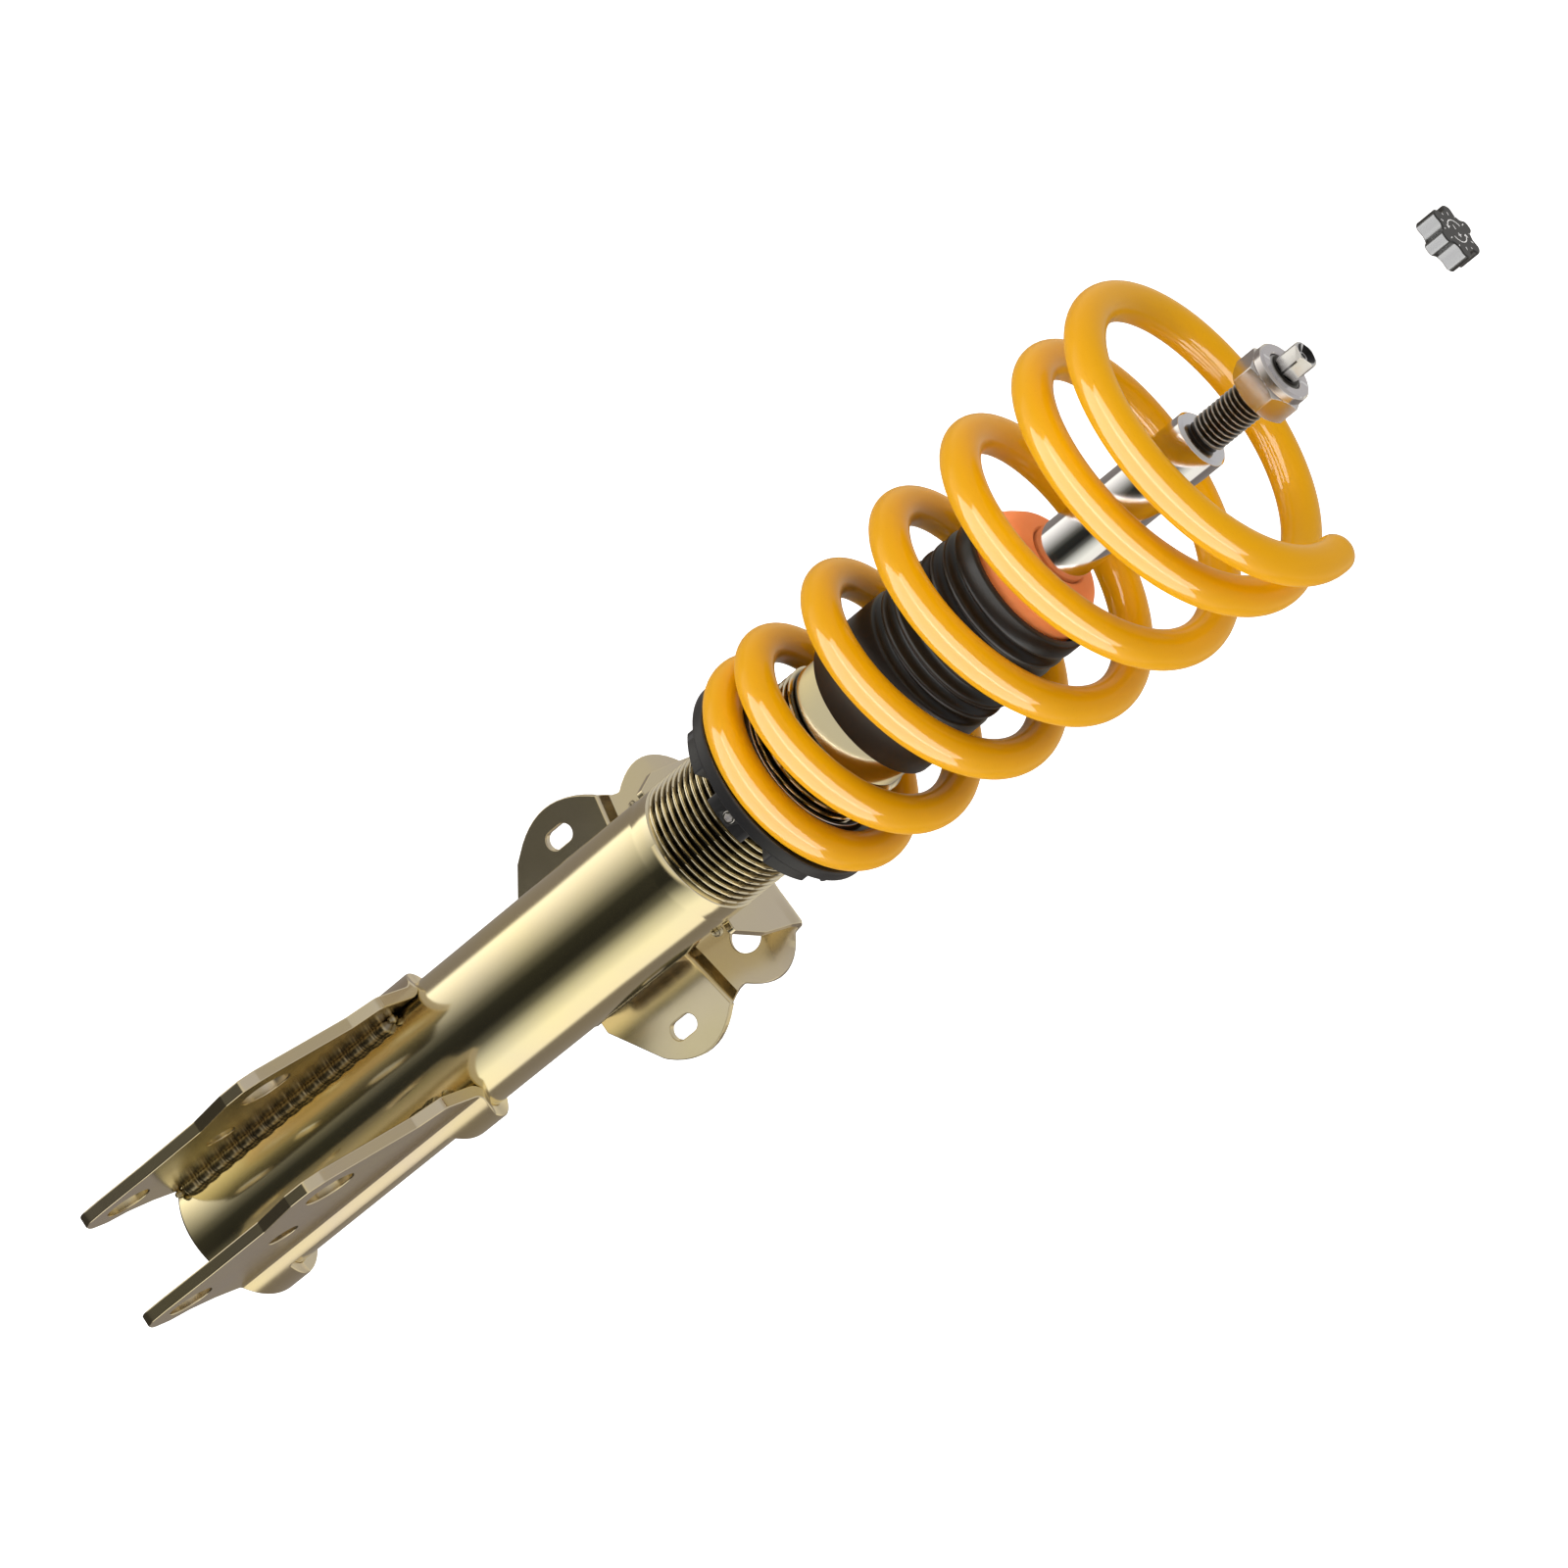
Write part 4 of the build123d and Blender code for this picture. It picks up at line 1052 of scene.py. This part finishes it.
SHOULDER_Z = 421.2
STUD_TOP_Z = 459.6
TIP_TOP_Z = 468.9
STUD_PITCH = 2.0
ROD_R = 11.0
ROD_STEP_Z = 234.0
rod_foot = [(2.1, 203.0, 0.1), (5.2, 203.0, 0.1), (6.0, 204.0, 0.3)]
rod_foot += [(6.0, ROD_STEP_Z, 0), (ROD_R, ROD_STEP_Z, 0.5), (ROD_R, 300.0, 0)]
rod_head = ((ROD_R, 400.0, 0), (ROD_R, SHOULDER_Z - 1.1, 0.4), (9.9, SHOULDER_Z, 0.4), (6.2, SHOULDER_Z, 0))
shaft_profile = [*rounded(rod_foot, steps=3), (ROD_R, 380.0), *rounded(rod_head, steps=4)]
shaft = lathe("rod_shaft", shaft_profile, CHROME, segments=128, closed=False)
place_piece(shaft, "rod", "piston_rod", slot="chrome_rod")
stud_profile = [
    (6.2, SHOULDER_Z - 0.2),
    (5.9, SHOULDER_Z + 0.4),
    (5.9, SHOULDER_Z + 1.4),
    (6.9, SHOULDER_Z + 2.4),
    *[(7.0, z) for z in np.arange(SHOULDER_Z + 2.6, STUD_TOP_Z - 1.2, 0.14)],
    (6.9, STUD_TOP_Z - 1.2),
    (5.9, STUD_TOP_Z - 0.1),
    (5.6, STUD_TOP_Z),
    (0.0, STUD_TOP_Z),
]


def stud_swell(angle, radius, z):
    if radius > 6.95:
        return radius - thread_dip(angle, z, SHOULDER_Z + 2.4, STUD_TOP_Z, STUD_PITCH, 1.0)
    return radius


stud = lathe("rod_stud", stud_profile, STUD, segments=96, closed=False, swell=stud_swell, sharp=50.0)
place_piece(stud, "rod", slot="chrome_rod")

tip_profile = rounded(
    (
        (0.0, STUD_TOP_Z - 6.0, 0),
        (5.0, STUD_TOP_Z - 6.0, 0),
        (5.0, TIP_TOP_Z - 0.5, 0.2),
        (4.6, TIP_TOP_Z, 0.2),
        (4.0, TIP_TOP_Z, 0.1),
        (1.7, TIP_TOP_Z - 1.6, 0.1),
        (1.7, TIP_TOP_Z - 3.0, 0),
        (0.0, TIP_TOP_Z - 3.0, 0),
    ),
    steps=3,
)
tip = lathe("rod_tip_flatted", tip_profile, TIP, segments=64, closed=False)


def box(name, centre, size, turn=0.0):
    """A block about the strut axis, turned by an angle in degrees."""
    spin = Matrix.Rotation(math.radians(turn), 3, "Z")
    corners = []
    for x in (-0.5, 0.5):
        for y in (-0.5, 0.5):
            for z in (-0.5, 0.5):
                corner = spin @ Vector((centre[0] + x * size[0], centre[1] + y * size[1], 0))
                corners.append((corner.x, corner.y + AXIS_Y, centre[2] + z * size[2]))
    faces = [(0, 1, 3, 2), (4, 6, 7, 5), (0, 4, 5, 1), (2, 3, 7, 6), (0, 2, 6, 4), (1, 5, 7, 3)]
    return make_mesh(name, corners, faces, TIP)


TIP_TURN = 11.0
cutters = []
for s in (-1, 1):
    cutters += [box("flat", (0, s * 6.2, 464.3), (14.0, 4.0, 9.4), TIP_TURN + t) for t in (-32, 32)]
cutters.append(box("slit", (0, -4.2, 462.4), (0.7, 3.0, 8.4), TIP_TURN))
tip = cut(tip, *cutters)
# Painted shade: the faces of the hollow in the tip's top get the dark steel.
tip.data.materials.append(PAINTED_RECESS_SHADE)
for face in tip.data.polygons:
    x, y, z = face.center / MM
    if math.hypot(x, y - AXIS_Y) < 4.0 and z > TIP_TOP_Z - 3.1:
        face.material_index = 1
place_piece(tip, "rod", slot="chrome_rod")

NUT_LOW_Z, NUT_HEX_Z, NUT_TOP_Z = 445.7, 455.7, 459.4
HEX_FACING = math.radians(1.0)
hex_profile = rounded(
    (
        (7.1, NUT_LOW_Z, 0.2),
        (10.8, NUT_LOW_Z, 0.0),
        (13.0, NUT_LOW_Z + 1.25, 0.0),
        (13.0, NUT_HEX_Z - 1.35, 0.0),
        (10.7, NUT_HEX_Z, 0.0),
        (11.35, NUT_HEX_Z + 0.1, 0.0),
        (11.35, NUT_TOP_Z - 0.8, 0.3),
        (10.6, NUT_TOP_Z, 0.3),
        (7.5, NUT_TOP_Z, 0.3),
        (7.1, NUT_TOP_Z - 0.5, 0.2),
    ),
    steps=3,
    closed=True,
)
fine_hex = subdivide(hex_profile, 0.35, closed=True)


def hex_swell(angle, radius, z):
    if z > NUT_HEX_Z + 0.05 or radius < 10.0:
        return radius
    off = (angle - HEX_FACING + math.pi / 6) % (math.pi / 3) - math.pi / 6
    return min(radius, 11.0 / math.cos(off))


nut_piece = lathe("top_nut_hex", fine_hex, NUT, segments=180, swell=hex_swell, sharp=28.0)
place_piece(nut_piece, "rod", "top_nut", slot="zinc_nut")


# ----------------------------------------------------------------------------------------------- knob

KNOB_LOW_Z, KNOB_HIGH_Z = 528.5, 536.7
LOBES = 6
LOBE_TURN = 6.0
knob_outline = []
for k in range(LOBES * 20):
    a = TURN * k / (LOBES * 20)
    wave = math.cos(LOBES * (a - math.radians(LOBE_TURN)))
    radius = 9.4 + 1.38 * math.tanh(1.7 * wave) / math.tanh(1.7)
    knob_outline.append((radius * math.sin(a), AXIS_Y - radius * math.cos(a)))
knob_middle = flat_at((KNOB_LOW_Z + KNOB_HIGH_Z) / 2)
knob_piece = plate("knob_lobed", knob_outline, [], knob_middle, KNOB_HIGH_Z - KNOB_LOW_Z, 0.55, 1.0, KNOB)
place_piece(knob_piece, "knob", "adjuster_knob", slot="knob_plastic")
pin_path = [(0, AXIS_Y, z) for z in (518.1, 518.4, 519.0, 529.0)]
pin = tube("knob_drive_pin", pin_path, [0.45, 0.7, 0.74, 0.74], STUD, 24)
place_piece(pin, "knob", "knob_pin", slot="bare_steel")


def stroke(points, width=0.42):
    """A printed line on the knob's top, through points given from its centre."""
    path = [(x, AXIS_Y + y, KNOB_HIGH_Z + 0.02) for x, y in points]
    return tube("mark", path, [width / 2] * len(path), PRINT, segments=8, flat=0.25)


marks = []
for k in range(12):
    a = TURN * (k + 0.5) / 12
    inner, outer = (6.9, 7.6) if k % 2 else (6.4, 7.6)
    marks.append(stroke([(r * math.sin(a), -r * math.cos(a)) for r in (inner, outer)], 0.38))
for start, end in ((20, 150), (200, 330)):
    sweep = np.radians(np.linspace(start, end, 24))
    marks.append(stroke([(4.4 * math.sin(a), -4.4 * math.cos(a)) for a in sweep]))
    tip_a = math.radians(end)
    tip_at = Vector((4.4 * math.sin(tip_a), -4.4 * math.cos(tip_a)))
    ahead = Vector((math.cos(tip_a), math.sin(tip_a)))
    across = Vector((-ahead.y, ahead.x))
    for s in (-1, 1):
        marks.append(stroke([tuple(tip_at + ahead * 0.5), tuple(tip_at - ahead * 0.6 + across * s * 0.8)]))
marks.append(stroke([(-0.9 - 1.6, 0.0), (0.9 - 1.6, 0.0)]))
marks.append(stroke([(-0.9 + 1.6, 0.0), (0.9 + 1.6, 0.0)]))
marks.append(stroke([(1.6, -0.9), (1.6, 0.9)]))
place_piece(join("knob_dial_marks", marks), "knob", slot="knob_plastic")


# ----------------------------------------------------------------------------- carried-over CAD nodes

CARRIED = {
    "pressure_tube": STEEL,
    "foot_valve": STEEL,
    "rod_guide": STEEL,
    "guide_bush": BRONZE,
    "oil_seal": BOOT,
    "gland_nut": STEEL,
    "rebound_stop": BOOT,
    "shim_stack": STEEL,
    "piston": STEEL,
    "piston_band": BRONZE,
    "piston_nut": NUT,
    "adjuster_needle": STEEL,
    "screw_pad": BRONZE,
}
for node, material in CARRIED.items():
    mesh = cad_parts[node].data
    for i in range(max(1, len(mesh.materials))):
        if mesh.materials:
            mesh.materials[i] = material
        else:
            mesh.materials.append(material)


# ------------------------------------------------------------------------------- stage, light, camera

bpy.context.scene.view_settings.view_transform = "Standard"

floor_mesh = bpy.data.meshes.new("floor")
FLOOR_Z = -1.6
FLOOR_SIDE = 30.0
floor_corners = [(x * FLOOR_SIDE, y * FLOOR_SIDE, FLOOR_Z) for x, y in ((-1, -1), (1, -1), (1, 1), (-1, 1))]
floor_mesh.from_pydata(floor_corners, [], [(0, 1, 2, 3)])
floor = bpy.data.objects.new("floor", floor_mesh)
bpy.context.collection.objects.link(floor)
paper = Nodes("floor_paper")
paper_tint = paper.ramp(paper.noise(3.0), (0.3, srgb("fafafa")), (0.7, srgb("ffffff")))
floor_mesh.materials.append(paper.finish(Base_Color=paper_tint, Roughness=0.9))
paper.shader.inputs["Emission Color"].default_value = (1.0, 1.0, 1.0, 1.0)
paper.shader.inputs["Emission Strength"].default_value = 1.0
floor.visible_glossy = False
floor.visible_shadow = False

CAMERA_AZIMUTH = math.radians(11.0)
CAMERA_ELEVATION = math.radians(30.0)
CAMERA_ROLL = math.radians(50.92)
CAMERA_DISTANCE = 2.141
aim = Vector((0.00157 * math.cos(CAMERA_AZIMUTH), 0.061 + 0.00157 * math.sin(CAMERA_AZIMUTH), 0.213))
back = Vector(
    (
        math.sin(CAMERA_AZIMUTH) * math.cos(CAMERA_ELEVATION),
        -math.cos(CAMERA_AZIMUTH) * math.cos(CAMERA_ELEVATION),
        math.sin(CAMERA_ELEVATION),
    )
)
camera = bpy.data.objects.new("camera", bpy.data.cameras.new("camera"))
bpy.context.collection.objects.link(camera)
camera.data.lens = 141.2
camera.data.sensor_width = 36.0
camera.location = aim + back * CAMERA_DISTANCE
camera.rotation_mode = "QUATERNION"
camera_roll = Matrix.Rotation(CAMERA_ROLL, 4, "Z").to_quaternion()
camera.rotation_quaternion = (-back).to_track_quat("-Z", "Y") @ camera_roll
camera.data.clip_end = 100.0
bpy.context.scene.camera = camera

# The studio: a pale room with a dark stretch in front, so that round metal shows a dark core between two
# bright bands, and a mid grey behind.
world = bpy.data.worlds.new("studio")
bpy.context.scene.world = world
world.use_nodes = True


class WorldNodes(Nodes):
    """The same short way to build nodes, for the world."""

    def __init__(self, tree):
        self.tree = tree


studio = WorldNodes(world.node_tree)
sky = studio.tree.nodes["Background"]
direction = studio.add("ShaderNodeTexCoord").outputs["Generated"]
turn_back = {"Vector": direction, "Angle": -CAMERA_AZIMUTH}
turned = studio.add("ShaderNodeVectorRotate", turn_back, rotation_type="Z_AXIS").outputs["Vector"]
x, y, z = studio.add("ShaderNodeSeparateXYZ", {"Vector": turned}).outputs
bearing = studio.math("ARCTAN2", x, studio.math("MULTIPLY", y, -1.0))
bearing = studio.math("ADD", studio.math("DIVIDE", bearing, TURN), 0.5)
DARK = 0.018


def at_bearing(degrees):
    return 0.5 + degrees / 360.0


level = studio.ramp(
    bearing,
    (at_bearing(-180), (0.30, 0.27, 0.24)),
    (at_bearing(-106), (0.24, 0.21, 0.19)),
    (at_bearing(-100), (1.5, 1.45, 1.30)),
    (at_bearing(-74), (1.05, 1.0, 0.92)),
    (at_bearing(-45), (0.46, 0.445, 0.40)),
    (at_bearing(-28), (0.14, 0.135, 0.115)),
    (at_bearing(-14), (DARK * 1.6, DARK * 1.6, DARK * 1.3)),
    (at_bearing(10), (DARK, DARK, DARK * 0.9)),
    (at_bearing(24), (0.12, 0.118, 0.10)),
    (at_bearing(44), (0.70, 0.69, 0.60)),
    (at_bearing(66), (1.15, 1.12, 0.98)),
    (at_bearing(99), (1.15, 1.08, 0.96)),
    (at_bearing(104), (0.20, 0.175, 0.16)),
    (at_bearing(180), (0.30, 0.27, 0.24)),
)
height = studio.math("ADD", studio.math("DIVIDE", z, 2.0), 0.5)
above = studio.ramp(height, (0.36, (0.0, 0.0, 0.0)), (0.47, (1.0, 1.0, 1.0)))
below = studio.ramp(height, (0.08, (1.0, 1.0, 1.0)), (0.17, (0.0, 0.0, 0.0)))
ceiling = studio.ramp(
    height,
    (0.45, (0.82, 0.75, 0.60)),
    (0.60, (0.62, 0.60, 0.55)),
    (0.76, (0.58, 0.57, 0.58)),
    (0.95, (0.46, 0.43, 0.38)),
)
ground = studio.mix(below, level, (0.045, 0.042, 0.036))
studio.put(sky.inputs["Color"], studio.mix(above, ground, ceiling))
sky.inputs["Strength"].default_value = 1.0


def softbox(name, azimuth, elevation, distance, size, power, tint=(1.0, 1.0, 1.0), target=aim):
    """A flat area light aimed at a target from an azimuth and elevation in degrees."""
    a, e = math.radians(azimuth), math.radians(elevation)
    lamp = bpy.data.objects.new(name, bpy.data.lights.new(name, "AREA"))
    bpy.context.collection.objects.link(lamp)
    lamp.data.shape = "RECTANGLE"
    lamp.data.size, lamp.data.size_y = size
    lamp.data.energy = power
    lamp.data.color = tint
    way = Vector((math.sin(a) * math.cos(e), -math.cos(a) * math.cos(e), math.sin(e)))
    lamp.location = target + way * distance
    lamp.rotation_mode = "QUATERNION"
    lamp.rotation_quaternion = way.to_track_quat("Z", "Y")
    return lamp


key = softbox("key_light", -55, 50, 2.2, (1.2, 1.2), 22.0)
fill = softbox("fill_light", 70, 20, 2.4, (1.4, 1.4), 12.0)
front = softbox("front_light", 15, 62, 2.4, (1.0, 1.0), 8.0)
for lamp in (key, fill, front):
    lamp.visible_glossy = False

# Panels that only some pieces mirror: the broad highlights along the coils, and the pale link wing.


def mirror_panel(lamp, *pieces):
    lamp.visible_diffuse = False
    lamp.visible_camera = False
    receivers = bpy.data.collections.new(lamp.name + "_receivers")
    for piece in pieces:
        receivers.objects.link(piece)
    lamp.light_linking.receiver_collection = receivers


mirror_panel(softbox("low_panel", 11, -32, 3.0, (15.0, 5.6), 3200.0), spring_piece, knob_piece)
mirror_panel(softbox("front_panel", 11, 24, 3.0, (13.0, 2.4), 1350.0), spring_piece)
mirror_panel(softbox("boot_panel", 11, -32, 3.0, (15.0, 5.4), 700.0), boot_piece)
WING_POINT = Vector((0.040, 0.092, 0.098))
mirror_panel(softbox("wing_card", -11, -30, 0.25, (0.09, 0.15), 0.028, target=WING_POINT), link_piece)
